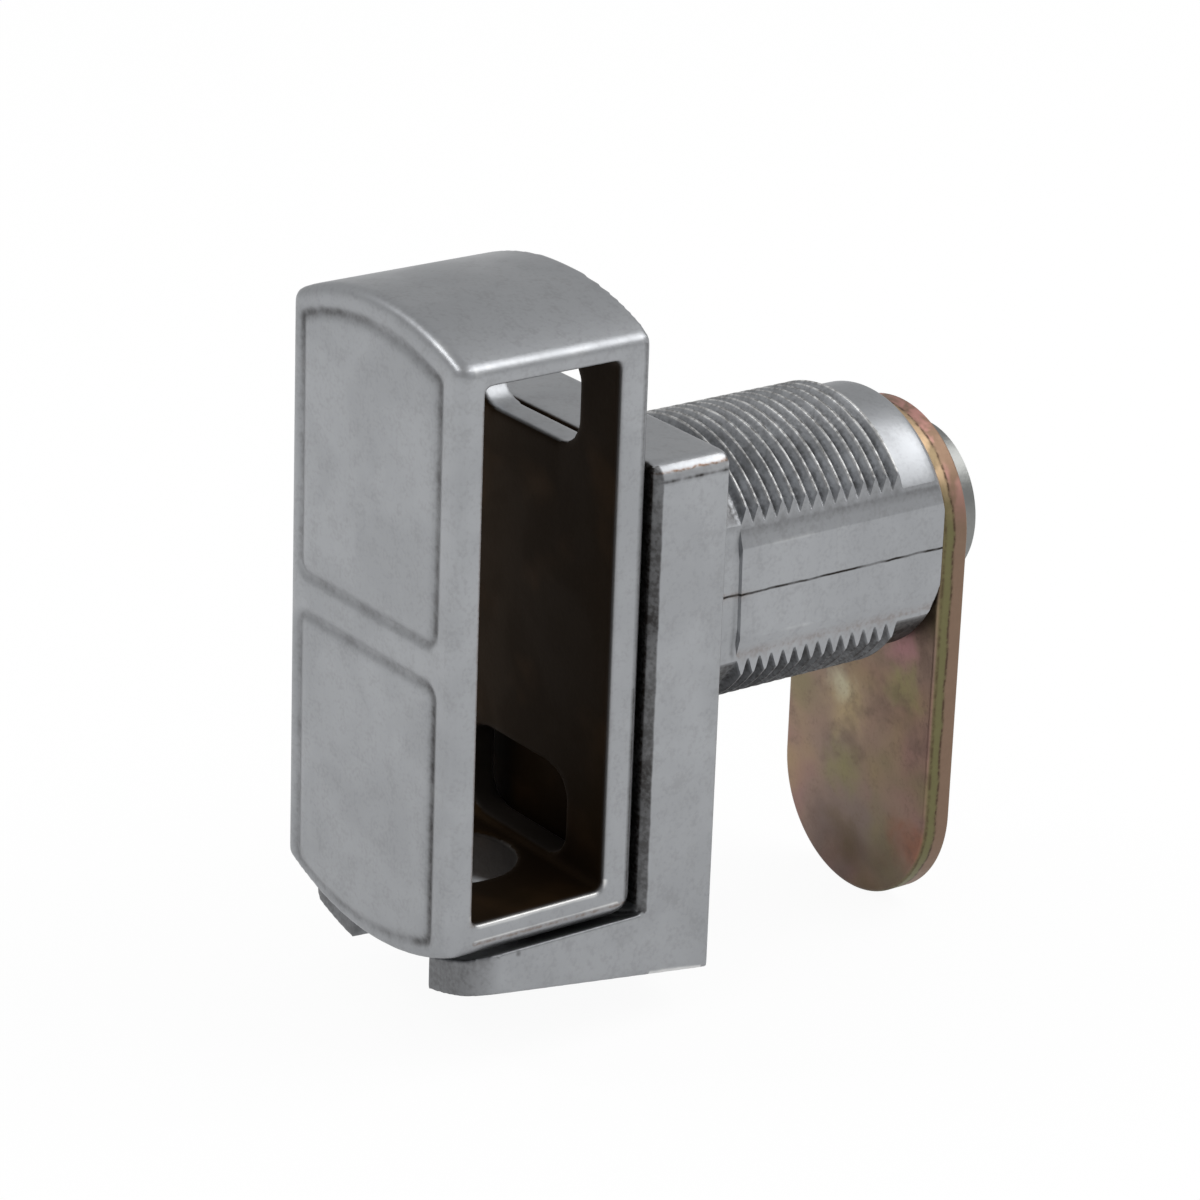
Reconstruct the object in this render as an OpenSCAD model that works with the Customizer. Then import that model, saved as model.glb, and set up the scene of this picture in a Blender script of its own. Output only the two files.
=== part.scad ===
// Padlock cam latch for a mailbox door, in millimetres.
// A loop handle turns a flat cam a quarter turn, and a padlock through the
// handle's floor and between the two ears of the foot holds it shut.
// The origin is on the barrel's axis, in the plane of the door's outer face.
// +Y points into the box, -Y to the user, +Z up.

/* [Handle] */
// Width of the handle across its open sides
handle_w = 19.8; // [17:0.1:20.4]
// Depth of the handle from its front face to its back face
handle_depth = 14.8; // [13:0.1:18]
// Radius of the handle's arched top and bottom, about the barrel's axis
handle_r = 22.5; // [21.8:0.1:26]
// Thickness of the handle's front wall
front_wall = 2.0; // [1.2:0.1:2.8]
// Thickness of the handle's back wall
back_wall = 2.3; // [1.6:0.1:3]
// Thickness of the handle's arched roof and floor at their middle
arch_wall = 3.8; // [3.4:0.1:5]
// Radius of the handle's upright corners
handle_edge_r = 0.8; // [0.3:0.1:1.2]
// Radius of the rim where the arches meet the front face
front_rim_r = 0.7; // [0.3:0.1:1]
// Radius of the rim where the arches meet the back face
back_rim_r = 1.0; // [0.4:0.1:1.4]
// Radius of the corners of the opening through the handle
tunnel_corner_r = 0.5; // [0.2:0.1:1]
// Diameter of the hole in the floor for the padlock's shackle
shackle_hole_d = 8.4; // [6:0.1:8.8]

/* [Pads and slots] */
// Mean of a pad's two margins to the handle's sides
pad_margin = 1.7; // [1.4:0.05:2.5]
// Mean margin between a pad and the handle's arched ends
pad_arch_margin = 1.3; // [1.2:0.1:2.5]
// Width of the plain band between the two pads
pad_band = 2.4; // [1.5:0.1:4]
// Radius of the corners of the pads
pad_corner_r = 1.2; // [0.8:0.1:2]
// Width of the groove round each pad
groove_w = 0.6; // [0.3:0.05:0.7]
// Depth of the groove round each pad
groove_depth = 0.3; // [0.1:0.05:0.5]
// Distance that the pads sit below the middle of the handle
pad_drop = 0.45; // [0:0.05:0.5]
// Distance that the pads and the slots sit to the left of the middle of the handle
left_shift = 0.5; // [0:0.05:0.6]
// Width of the slots in the back wall
slot_w = 11.6; // [8:0.1:13]
// Height of the slots in the back wall
slot_h = 6.4; // [5:0.1:6.8]
// Distance from the roof or floor to the nearer edge of its slot
slot_inset = 0.8; // [0.4:0.1:1.2]
// Radius of the corners of the slots
slot_corner_r = 2.2; // [1:0.1:2.4]

/* [Base plate and foot] */
// Width of the base plate and its foot
base_w = 20.7; // [20.5:0.1:24]
// Thickness of the base plate
base_t = 6.0; // [5:0.1:8]
// Height of the base plate's top edge above the axis
base_top = 11.3; // [10.6:0.1:12]
// Chamfer of the base plate's top and upright edges
base_chamfer = 0.9; // [0.3:0.1:1.2]
// Length of the foot in front of the base plate
foot_len = 13.2; // [12:0.1:15]
// Thickness of the foot at its front end
foot_t = 2.45; // [1.8:0.05:3]
// How much deeper the foot's underside is at the door than at its front end
foot_drop = 2.5; // [0.5:0.1:3.5]
// Width of the gap between the foot's two ears
ear_gap = 9.2; // [9:0.1:10]
// Radius of the ears' outer front corners
ear_corner_r = 2.0; // [0.5:0.1:3]

/* [Threaded barrel] */
// Outer diameter of the barrel's thread
thread_d = 20.0; // [19.2:0.1:20.8]
// Pitch of the barrel's thread
thread_pitch = 1.0; // [0.8:0.1:1.5]
// Depth of the barrel's thread
thread_depth = 0.62; // [0.4:0.02:0.8]
// Number of crests on the barrel
thread_turns = 14; // [9:1:15]
// Length of the plain neck between the base plate and the thread
neck_len = 2.7; // [1.5:0.1:3.5]
// Length of the plain ring behind the thread
end_ring_len = 3.7; // [3.5:0.1:6]
// Chamfer on the barrel's end
end_chamfer = 0.6; // [0.3:0.1:0.9]
// Distance across the barrel's two flats
flats_w = 16.0; // [15.6:0.1:16.6]
// Height of the raised rib on each flat
rib_h = 0.35; // [0.2:0.05:0.6]
// Width of the rib's face
rib_face_w = 6.5; // [4:0.1:7]
// Width of each of the rib's sloped sides
rib_slope_w = 1.25; // [0.5:0.05:1.3]

/* [Spindle and stop] */
// Diameter of the spindle
spindle_d = 11.0; // [10.6:0.1:11.4]
// Size of the square end of the spindle that carries the cam
square_w = 7.0; // [6.6:0.1:7.2]
// Thickness of the stop washer
stop_t = 1.8; // [1.4:0.1:2.4]
// Reach of the stop washer's tab from the axis
stop_reach = 6.9; // [6.6:0.05:7.1]
// Angle that the stop washer's tab fills
stop_tab_angle = 50; // [30:1:80]
// Angle that the handle can turn
turn_angle = 90; // [60:1:100]
// Diameter of the detent ball
ball_d = 3.0; // [2.4:0.1:3.2]
// How far the detent ball clicks out into its groove
ball_click = 0.35; // [0.2:0.05:0.4]
// Place of the detent ball along the axis
ball_y = 9.0; // [7:0.1:9.5]
// Distance from the axis to the blind end of the detent ball's hole
ball_hole_end = 2.0; // [1:0.1:2.8]
// Mean diameter of the detent spring
spring_d = 2.2; // [2:0.05:2.3]
// Diameter of the detent spring's wire
spring_wire_d = 0.4; // [0.3:0.02:0.45]
// Number of turns in the detent spring
spring_turns = 4; // [3:1:5]
// Diameter of the seal ring's section
seal_d = 1.5; // [1.2:0.1:1.8]
// Depth of the seal ring's middle behind the base plate's front face
seal_depth = 3.6; // [2.4:0.1:4.6]
// Outer diameter of the thrust washer under the handle
thrust_d = 17.2; // [14:0.1:18]
// Depth of the thrust washer's seat in the base plate
thrust_seat = 0.6; // [0.3:0.1:1.2]

/* [Cam and screw] */
// Width of the cam
cam_w = 16.0; // [14:0.1:18]
// Distance from the axis to the cam's far end
cam_reach = 29.0; // [24:0.5:50]
// Thickness of the cam
cam_t = 2.2; // [1.5:0.1:3]
// Diameter of the screw's thread
screw_d = 6.0; // [5:0.1:6]
// Length of the screw under its head
screw_len = 10.0; // [8.8:0.1:10.4]
// Diameter of the screw's head
head_d = 11.6; // [10:0.1:12]
// Height of the straight side of the screw's head
head_side_h = 1.6; // [1:0.1:2.2]
// Height of the dome on the screw's head
head_dome_h = 1.8; // [1.2:0.1:2.2]
// Length of the cross recess in the screw's head
recess_len = 5.2; // [4:0.1:6]
// Width of the arms of the cross recess
recess_w = 1.1; // [0.8:0.1:1.4]
// Depth of the cross recess
recess_depth = 2.2; // [1.2:0.1:2.4]
// Thickness of the lock washer under the screw's head
lock_washer_t = 1.0; // [0.6:0.1:1.6]
// Width of the lock washer's ring
lock_washer_w = 2.4; // [1.8:0.1:2.6]
// Angle of the split in the lock washer
lock_washer_split = 10; // [5:1:20]

/* [Clearances] */
// Gap between the handle's back face and the base plate
handle_gap = 0.5; // [0.3:0.05:1]
// Gap between the handle's arched bottom and the foot
foot_gap = 0.45; // [0.3:0.05:1]
// Radial gap between the spindle and its bore
bearing_gap = 0.05; // [0.02:0.01:0.09]
// Gap between the thrust washer and the handle
thrust_gap = 0.05; // [0.02:0.01:0.1]
// Gap between the barrel's end and the cam
cam_gap = 0.3; // [0.2:0.05:0.6]
// Gap round the stop washer in its recess
stop_gap = 0.1; // [0.05:0.01:0.2]
// Gap between a square end and the square hole on it
square_gap = 0.03; // [0.02:0.01:0.1]
// Gap round the screw's thread in its hole
screw_gap = 0.05; // [0.02:0.01:0.1]
// Gap round the detent ball in its hole and its grooves
ball_gap = 0.1; // [0.05:0.01:0.12]
// Distance that the square end stays behind the cam's back face, so that the screw clamps the cam
square_setback = 0.15; // [0.05:0.05:0.4]
// Gap between the screw's tip and the end of its hole
screw_tip_gap = 0.4; // [0.2:0.1:0.6]
// Gap round the thrust washer in its seat, and between it and the spindle
thrust_side_gap = 0.1; // [0.05:0.05:0.3]
// Distance by which a cut runs past the face it opens
cut = 1; // [0.5:0.1:2]

/* [Hidden] */
$fn = 96;

// Planes along the axis, from the user's side to the inside of the box
base_front = -base_t;
handle_back = base_front - handle_gap;
handle_front = handle_back - handle_depth;
tunnel_front = handle_front + front_wall;
tunnel_back = handle_back - back_wall;
tunnel_mid = (tunnel_front + tunnel_back) / 2;
foot_front = base_front - foot_len;
thread_start = neck_len;
thread_end = thread_start + thread_turns * thread_pitch;
barrel_end = thread_end + end_ring_len;
cam_front = barrel_end + cam_gap;
cam_back = cam_front + cam_t;
stop_front = cam_front - stop_t;
stop_recess_floor = stop_front - stop_gap;
square_end = cam_back - square_setback;
head_front = cam_back + lock_washer_t;
head_side_end = head_front + head_side_h;
head_end = head_side_end + head_dome_h;
screw_tip = head_front - screw_len;
screw_hole_end = screw_tip - screw_tip_gap;
seal_y = base_front + seal_depth;
thrust_back = base_front + thrust_seat;
thrust_front = handle_back + thrust_gap;

// Radii and heights
tunnel_z = handle_r - arch_wall;
slot_top = tunnel_z - slot_inset;
slot_bottom = slot_top - slot_h;
pad_arch_r = handle_r - pad_arch_margin;
pad_half_w = handle_w / 2 - pad_margin;
foot_top_r = handle_r + foot_gap;
foot_front_r = foot_top_r + foot_t;
foot_rear_r = foot_front_r + foot_drop;
thread_r = thread_d / 2;
thread_root_r = thread_r - thread_depth;
rib_r = flats_w / 2 + rib_h;
spindle_r = spindle_d / 2;
bore_r = spindle_r + bearing_gap;
seal_r = spindle_r + bearing_gap / 2 - seal_d / 2;
seal_floor_r = seal_r - seal_d / 2;
stop_disc_r = spindle_r - stop_gap;
stop_recess_r = stop_reach + stop_gap;
cam_r = cam_w / 2;
cam_tip_z = cam_r - cam_reach;
screw_r = screw_d / 2;
head_r = head_d / 2;
lock_washer_r = screw_r + screw_gap + lock_washer_w;
thrust_r = thrust_d / 2;
ball_r = ball_d / 2;
ball_z = ball_r - spindle_r;
ball_hole_r = ball_r + ball_gap;

// Grooves along the bore that the detent ball clicks into
ball_groove_start = ball_y - 2 * ball_r;
ball_groove_r = ball_r + ball_gap;
ball_groove_centre = spindle_r - ball_r + ball_click;

// Spring between the ball and the blind end of its hole
spring_bottom = ball_z + ball_r + spring_wire_d / 2 + ball_gap;
spring_top = ball_hole_end - spring_wire_d / 2 - ball_gap;
spring_rings = 8;
spring_sides = 6;

// Shares of a thread's pitch that are flat at its crest and at its root
thread_crest_share = 0.12;
thread_root_share = 0.12;

// Pitch and depth of the screw's thread, and the plain stretch under its head
screw_pitch = 1;
screw_thread_depth = 0.55;
screw_plain = 2;

// Repeated colours
chrome = [0.60, 0.61, 0.62];
zinc_yellow = [0.62, 0.56, 0.36];
zinc_blue = [0.66, 0.70, 0.76];
nylon = [0.10, 0.10, 0.10];
rubber = [0.08, 0.08, 0.08];
steel = [0.75, 0.76, 0.78];

// Round rod along Y between two planes
module rod_y(r, y0, y1) {
    translate([0, y0, 0])
        rotate([-90, 0, 0])
            cylinder(r = r, h = y1 - y0);
}

// Cone along Y between two planes
module cone_y(r0, r1, y0, y1) {
    translate([0, y0, 0])
        rotate([-90, 0, 0])
            cylinder(r1 = r0, r2 = r1, h = y1 - y0);
}

// Outline drawn in X and Z, extruded along Y between two planes
module along_y(y0, y1) {
    translate([0, y1, 0])
        rotate([90, 0, 0])
            linear_extrude(height = y1 - y0)
                children();
}

// Outline drawn in Y and Z, extruded along X, centred
module across_x(w) {
    translate([-w / 2, 0, 0])
        rotate([90, 0, 90])
            linear_extrude(height = w)
                children();
}

// Outline drawn in X and Y, extruded along Z between two heights
module along_z(z0, z1) {
    translate([0, 0, z0])
        linear_extrude(height = z1 - z0)
            children();
}

// Half profile drawn as radius and place along the axis, turned about the Y axis
module turned_y() {
    rotate([-90, 0, 0])
        rotate_extrude()
            children();
}

// Rectangle with round corners between two corner points
module round_rect(x0, x1, y0, y1, r) {
    translate([x0 + r, y0])
        square([x1 - x0 - 2 * r, y1 - y0]);
    translate([x0, y0 + r])
        square([x1 - x0, y1 - y0 - 2 * r]);
    for (x = [x0 + r, x1 - r])
        for (y = [y0 + r, y1 - r])
            translate([x, y])
                circle(r = r, $fn = 32);
}

// Slice of a disc from one angle to another, measured from +Z towards +X
module sector(r, from_angle, to_angle) {
    reach = 2 * r;
    steps = 6;
    fan = [for (i = [0:steps]) from_angle + (to_angle - from_angle) * i / steps];
    intersection() {
        circle(r = r);
        polygon(concat([[0, 0]], [for (a = fan) [reach * sin(a), reach * cos(a)]]));
    }
}

// Points of a thread's half profile: root, crest and root again for each turn
function thread_points(r, depth, pitch, start, turns) =
    let (root = thread_root_share / 2, crest = 0.5 - thread_crest_share / 2)
    [for (i = [0:turns - 1])
        for (p = [[-depth, root], [0, crest], [0, 1 - crest], [-depth, 1 - root]])
            [r + p[0], start + (i + p[1]) * pitch]];

// Outline of a pad on the front face; the arch is on the side that dir names
module pad_outline(dir, inset) {
    intersection() {
        circle(r = pad_arch_r - inset);
        mirror([0, dir > 0 ? 0 : 1])
            round_rect(-pad_half_w + inset, pad_half_w - inset, pad_band / 2 + inset,
                pad_arch_r + pad_corner_r, pad_corner_r - inset);
    }
}

// Groove round one pad
module pad_groove(dir) {
    along_y(handle_front - cut, handle_front + groove_depth)
        translate([-left_shift, -pad_drop])
            difference() {
                pad_outline(dir, 0);
                pad_outline(dir, groove_w);
            }
}

// Solid of the loop before anything is cut: a disc with round rims between two flat sides
module handle_blank() {
    intersection() {
        turned_y()
            disc_profile();
        along_z(-handle_r, handle_r)
            round_rect(-handle_w / 2, handle_w / 2, handle_front, handle_back, handle_edge_r);
    }
}

// Half profile of the handle's disc, with a round rim at each face
module disc_profile() {
    translate([0, handle_front + front_rim_r])
        square([handle_r, handle_depth - front_rim_r - back_rim_r]);
    translate([0, handle_front])
        square([handle_r - front_rim_r, handle_depth]);
    translate([0, handle_front])
        square([handle_r - back_rim_r, handle_depth]);
    translate([handle_r - front_rim_r, handle_front + front_rim_r])
        circle(r = front_rim_r, $fn = 32);
    translate([handle_r - back_rim_r, handle_back - back_rim_r])
        circle(r = back_rim_r, $fn = 32);
}

// Slot through the handle's back wall, near the roof or near the floor
module wall_slot(dir) {
    along_y(tunnel_back - cut, handle_back + cut)
        mirror([0, dir > 0 ? 0 : 1])
            round_rect(-slot_w / 2 - left_shift, slot_w / 2 - left_shift, slot_bottom, slot_top,
                slot_corner_r);
}

// Spindle behind the handle: round journal, then the square that carries the cam
module spindle() {
    rod_y(spindle_r, tunnel_back, stop_front);
    along_y(stop_front, square_end)
        square([square_w, square_w], center = true);
}

module handle() {
    color(chrome)
        difference() {
            union() {
                difference() {
                    handle_blank();
                    across_x(handle_w + 2 * cut)
                        round_rect(tunnel_front, tunnel_back, -tunnel_z, tunnel_z, tunnel_corner_r);
                    wall_slot(1);
                    wall_slot(-1);
                }
                spindle();
            }
            translate([0, tunnel_mid, -handle_r - cut])
                cylinder(d = shackle_hole_d, h = arch_wall + 2 * cut);
            pad_groove(1);
            pad_groove(-1);
            difference() {
                rod_y(spindle_r + cut, seal_y - seal_d / 2, seal_y + seal_d / 2);
                rod_y(seal_floor_r, seal_y - seal_d, seal_y + seal_d);
            }
            translate([0, ball_y, -spindle_r - cut])
                cylinder(r = ball_hole_r, h = spindle_r + cut + ball_hole_end);
            rod_y(screw_r + screw_gap, screw_hole_end, square_end + cut);
        }
}

// Upright plate against the door, with chamfered top and front edges
module base_plate() {
    half_w = base_w / 2;
    intersection() {
        along_y(base_front, 0)
            polygon([
                [-half_w, -foot_rear_r],
                [half_w, -foot_rear_r],
                [half_w, base_top - base_chamfer],
                [half_w - base_chamfer, base_top],
                [base_chamfer - half_w, base_top],
                [-half_w, base_top - base_chamfer]
            ]);
        along_z(-foot_rear_r, base_top)
            polygon([
                [-half_w, 0],
                [half_w, 0],
                [half_w, base_front + base_chamfer],
                [half_w - base_chamfer, base_front],
                [base_chamfer - half_w, base_front],
                [-half_w, base_front + base_chamfer]
            ]);
    }
}

// Foot under the handle, before the gap for the padlock is cut between its ears
module foot() {
    difference() {
        along_z(-foot_rear_r, 0)
            round_rect(-base_w / 2, base_w / 2, foot_front, base_front + base_t / 2, ear_corner_r);
        rod_y(foot_top_r, foot_front - cut, 0);
    }
}

// Gap between the ears, open to the front and round at its back
module shackle_gap() {
    along_z(-foot_rear_r - cut, -foot_top_r / 2) {
        translate([0, tunnel_mid])
            circle(d = ear_gap);
        translate([-ear_gap / 2, foot_front - cut])
            square([ear_gap, tunnel_mid - foot_front + cut]);
    }
}

// Barrel's outside: neck, thread and end ring, with a rib on each of two flats
module barrel() {
    intersection() {
        turned_y()
            polygon(concat(
                [[0, -cut], [thread_root_r, -cut]],
                thread_points(thread_r, thread_depth, thread_pitch, thread_start, thread_turns),
                [
                    [thread_root_r, thread_end],
                    [thread_root_r, barrel_end - end_chamfer],
                    [thread_root_r - end_chamfer, barrel_end],
                    [0, barrel_end]
                ]
            ));
        along_y(-cut, barrel_end)
            union() {
                square([flats_w, thread_d], center = true);
                for (side = [1, -1])
                    polygon([
                        [0, rib_face_w / 2 + rib_slope_w],
                        [side * flats_w / 2, rib_face_w / 2 + rib_slope_w],
                        [side * rib_r, rib_face_w / 2],
                        [side * rib_r, -rib_face_w / 2],
                        [side * flats_w / 2, -rib_face_w / 2 - rib_slope_w],
                        [0, -rib_face_w / 2 - rib_slope_w]
                    ]);
            }
    }
}

// Quarter recess in the barrel's end that limits the stop washer's tab
module stop_recess() {
    half_tab = stop_tab_angle / 2;
    along_y(stop_recess_floor, barrel_end + cut)
        sector(stop_recess_r, -half_tab, turn_angle + half_tab);
}

// Groove along the bore for the detent ball, at an angle from -Z towards -X
module detent_groove(angle) {
    rotate([0, angle, 0])
        translate([0, 0, -ball_groove_centre])
            rod_y(ball_groove_r, ball_groove_start, barrel_end + cut);
}

module housing() {
    color(chrome)
        difference() {
            union() {
                intersection() {
                    difference() {
                        union() {
                            base_plate();
                            foot();
                        }
                        shackle_gap();
                    }
                    cone_y(foot_front_r, foot_rear_r, foot_front, 0);
                }
                barrel();
            }
            rod_y(bore_r, base_front - cut, barrel_end + cut);
            rod_y(thrust_r + thrust_side_gap, base_front - cut, thrust_back);
            stop_recess();
            detent_groove(0);
            detent_groove(turn_angle);
        }
}

module thrust_washer() {
    color(nylon)
        difference() {
            rod_y(thrust_r, thrust_front, thrust_back);
            rod_y(spindle_r + thrust_side_gap, thrust_front - cut, thrust_back + cut);
        }
}

module seal_ring() {
    color(rubber)
        turned_y()
            translate([seal_r, seal_y])
                circle(d = seal_d, $fn = 32);
}

// Point on the spring's wire: turn counts windings, side goes round the wire
function spring_point(turn, side) =
    let (a = 360 * turn, b = 360 * side / spring_sides, w = spring_wire_d / 2, r = spring_d / 2 + w * cos(b))
    [r * cos(a), r * sin(a), spring_bottom + (spring_top - spring_bottom) * turn / spring_turns + w * sin(b)];

module detent_spring() {
    rings = spring_turns * spring_rings;
    points = [for (i = [0:rings]) for (j = [0:spring_sides - 1]) spring_point(i / spring_rings, j)];
    skin = [for (i = [0:rings - 1]) for (j = [0:spring_sides - 1])
        let (k = (j + 1) % spring_sides, a = i * spring_sides, b = a + spring_sides)
        each [[a + j, b + j, b + k], [a + j, b + k, a + k]]];
    first = [for (j = [1:spring_sides - 2]) [0, j, j + 1]];
    last_ring = rings * spring_sides;
    last = [for (j = [1:spring_sides - 2]) [last_ring, last_ring + j + 1, last_ring + j]];
    color(steel)
        translate([0, ball_y, 0])
            polyhedron(points = points, faces = concat(skin, first, last));
}

module detent_ball() {
    color(steel)
        translate([0, ball_y, ball_z])
            sphere(r = ball_r, $fn = 48);
}

module stop_washer() {
    half_tab = stop_tab_angle / 2;
    color(zinc_blue)
        along_y(stop_front, cam_front)
            difference() {
                union() {
                    circle(r = stop_disc_r);
                    sector(stop_reach, stop_gap - half_tab, half_tab - stop_gap);
                }
                square(square_w + 2 * square_gap, center = true);
            }
}

module cam() {
    color(zinc_yellow)
        along_y(cam_front, cam_back)
            difference() {
                union() {
                    circle(r = cam_r);
                    translate([-cam_r, cam_tip_z])
                        square([cam_w, -cam_tip_z]);
                    translate([0, cam_tip_z])
                        circle(r = cam_r);
                }
                square(square_w + 2 * square_gap, center = true);
            }
}

module lock_washer() {
    half_split = lock_washer_split / 2;
    color(zinc_blue)
        along_y(cam_back, head_front)
            difference() {
                circle(r = lock_washer_r);
                circle(r = screw_r + screw_gap);
                sector(lock_washer_r + cut, 180 - half_split, 180 + half_split);
            }
}

// Half profile of the screw: threaded shank, straight head and dome
module screw_profile() {
    dome_sphere_r = (head_r * head_r + head_dome_h * head_dome_h) / (2 * head_dome_h);
    turns = floor((screw_len - screw_plain) / screw_pitch);
    polygon(concat(
        [[0, screw_tip], [screw_r - screw_thread_depth, screw_tip]],
        thread_points(screw_r, screw_thread_depth, screw_pitch, screw_tip, turns),
        [
            [screw_r, screw_tip + turns * screw_pitch],
            [screw_r, head_front],
            [head_r, head_front],
            [head_r, head_side_end],
            [0, head_side_end]
        ]
    ));
    intersection() {
        translate([0, head_end - dome_sphere_r])
            circle(r = dome_sphere_r, $fn = 180);
        translate([0, head_side_end])
            square([head_r, head_dome_h]);
    }
}

module cam_screw() {
    color(zinc_blue)
        difference() {
            turned_y()
                screw_profile();
            along_y(head_end - recess_depth, head_end + cut)
                union() {
                    square([recess_len, recess_w], center = true);
                    square([recess_w, recess_len], center = true);
                }
        }
}

housing();
thrust_washer();
handle();
seal_ring();
detent_spring();
detent_ball();
stop_washer();
cam();
lock_washer();
cam_screw();
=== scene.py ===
"""Padlock cam latch for a mailbox door: detailed pieces, finishes, studio and camera.

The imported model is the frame. Lengths are millimetres, turned into metres where a mesh is made.
"""

import logging
import math
from collections.abc import Iterable, Iterator, Sequence
from contextlib import contextmanager
from dataclasses import dataclass
from enum import Enum

import bmesh
import bpy
import numpy as np
from mathutils import Matrix, Vector


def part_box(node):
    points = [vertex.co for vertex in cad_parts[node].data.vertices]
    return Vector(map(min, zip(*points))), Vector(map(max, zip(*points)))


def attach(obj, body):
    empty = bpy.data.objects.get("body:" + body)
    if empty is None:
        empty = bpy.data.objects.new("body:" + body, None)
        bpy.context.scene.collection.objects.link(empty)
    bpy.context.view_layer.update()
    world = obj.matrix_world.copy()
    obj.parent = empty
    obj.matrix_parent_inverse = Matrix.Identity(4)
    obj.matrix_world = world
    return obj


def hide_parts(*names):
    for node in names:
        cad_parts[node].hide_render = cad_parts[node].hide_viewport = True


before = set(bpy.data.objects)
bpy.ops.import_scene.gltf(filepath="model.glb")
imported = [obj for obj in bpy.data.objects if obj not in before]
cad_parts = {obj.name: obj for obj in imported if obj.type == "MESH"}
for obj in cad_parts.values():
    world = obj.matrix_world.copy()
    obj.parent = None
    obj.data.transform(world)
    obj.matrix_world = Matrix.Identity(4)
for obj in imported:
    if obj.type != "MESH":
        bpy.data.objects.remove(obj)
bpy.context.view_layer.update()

LOG = logging.getLogger("padlock_latch")

METRE = 1000.0  # in millimetres
SKIN = 0.005  # how far the cast pieces stay inside the CAD's box
SLIVER = 0.002  # edges up to this length are welded after the cuts
PAST = 1.0  # how far a cutter reaches past the solid
ON_FACE = 0.2  # how far from a face its own vertices may lie
TINY = 1e-6  # keeps a length from being divided by zero
CREASE = 35.0  # bends over this many degrees are shaded sharp
CAST_CREASE = 60.0  # the same on a cast skin
METAL, PLAIN = 1.0, 0.0  # values of a material's metallic input

Point2 = tuple[float, float]
Point3 = tuple[float, float, float]
Tint = tuple[float, float, float, float]
Socket = bpy.types.NodeSocket
Value = Socket | float | Sequence[float]
Object = bpy.types.Object
Material = bpy.types.Material
NodeTree = bpy.types.NodeTree


class Along(Enum):
    """The axis that a solid is stacked along."""

    X = 0
    Y = 1
    Z = 2


class Cut(Enum):
    """What one solid does to another."""

    TAKE = "DIFFERENCE"
    KEEP = "INTERSECT"
    JOIN = "UNION"


def box_mm(node: str) -> tuple[np.ndarray, np.ndarray]:
    """Lowest and highest corner of a CAD node at rest, in millimetres."""
    low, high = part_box(node)
    return np.array(low) * METRE, np.array(high) * METRE


def colour(red: float, green: float, blue: float) -> Tint:
    """Colour for a shader from display values of 0 to 255."""
    linear = [((v / 255 + 0.055) / 1.055) ** 2.4 if v > 10 else v / 255 / 12.92 for v in (red, green, blue)]
    return (*linear, 1.0)


def arc(centre: Point2, radius: float, start: float, end: float, steps: int) -> list[Point2]:
    """Points on an arc, in degrees from the first axis towards the second."""
    turns = np.radians(np.linspace(start, end, steps + 1))
    return [(centre[0] + radius * math.cos(t), centre[1] + radius * math.sin(t)) for t in turns]


def round_rect(low: Point2, high: Point2, radius: float, steps: int = 10) -> list[Point2]:
    """Outline of a rectangle with round corners, counter-clockwise.

    Args:
        low: The corner with the smallest values.
        high: The corner with the largest values.
        radius: Radius of every corner.
        steps: Pieces in each corner's arc.

    Returns:
        The outline's points.
    """
    (x0, y0), (x1, y1) = low, high
    points = []
    for centre, start in (((x1 - radius, y1 - radius), 0), ((x0 + radius, y1 - radius), 90),
                          ((x0 + radius, y0 + radius), 180), ((x1 - radius, y0 + radius), 270)):
        points += arc(centre, radius, start, start + 90, steps)
    return points


def centred_rect(half_w: float, half_h: float, radius: float, steps: int = 3) -> list[Point2]:
    """Outline of a rectangle with round corners about the origin."""
    return round_rect((-half_w, -half_h), (half_w, half_h), radius, steps)


def quarter_round(radius: float, steps: int) -> list[Point2]:
    """Steps round a soft edge, as how far each lies in from the side and down from the top."""
    turns = np.radians(np.linspace(0, 90, steps + 1))
    return [(radius * (1 - math.cos(t)), radius * (1 - math.sin(t))) for t in turns]


def smooth_max(first: np.ndarray, second: np.ndarray | float, width: float) -> np.ndarray:
    """Larger of two fields, with the crease rounded over the given width."""
    overlap = np.clip(width - np.abs(first - second), 0, None) / width
    return np.maximum(first, second) + overlap * overlap * width / 4


def ramp(value: np.ndarray, width: float = 1.0) -> np.ndarray:
    """Rises from 0 where a value is zero to 1 where it is the given width."""
    return np.clip(value / width, 0, 1)


def ridge(away: np.ndarray, width: float) -> np.ndarray:
    """Soft line that is 1 where a distance is zero and fades over the given width."""
    return np.exp(-((away / width) ** 2))


def strongest(*masks: np.ndarray) -> np.ndarray:
    """Highest of some masks at each vertex."""
    return np.maximum.reduce(masks)


def uneven(along: np.ndarray, seed: float) -> np.ndarray:
    """Slow irregular swing between about -1 and 1 along a line, in millimetres."""
    return 0.5 * np.sin(1.3 * along + seed) + 0.3 * np.sin(3.1 * along + 2.3 * seed) + 0.2 * np.sin(6.7 * along + seed)


def in_scene(name: str, data: bpy.types.ID) -> Object:
    """New object that shows the given data.

    Args:
        name: The object's name.
        data: Its mesh, lamp or camera data.

    Returns:
        The new object.
    """
    made = bpy.data.objects.new(name, data)
    bpy.context.scene.collection.objects.link(made)
    return made


def make_object(name: str, points: Iterable[Sequence[float]], faces: Iterable[Sequence[int]]) -> Object:
    """Object in the scene from points in millimetres and faces that list them.

    Args:
        name: The object's name.
        points: The points.
        faces: Numbers of the points round each face.

    Returns:
        The new object.
    """
    mesh = bpy.data.meshes.new(name)
    mesh.from_pydata((np.array(list(points)) / METRE).tolist(), [], list(faces))
    return in_scene(name, mesh)


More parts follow.
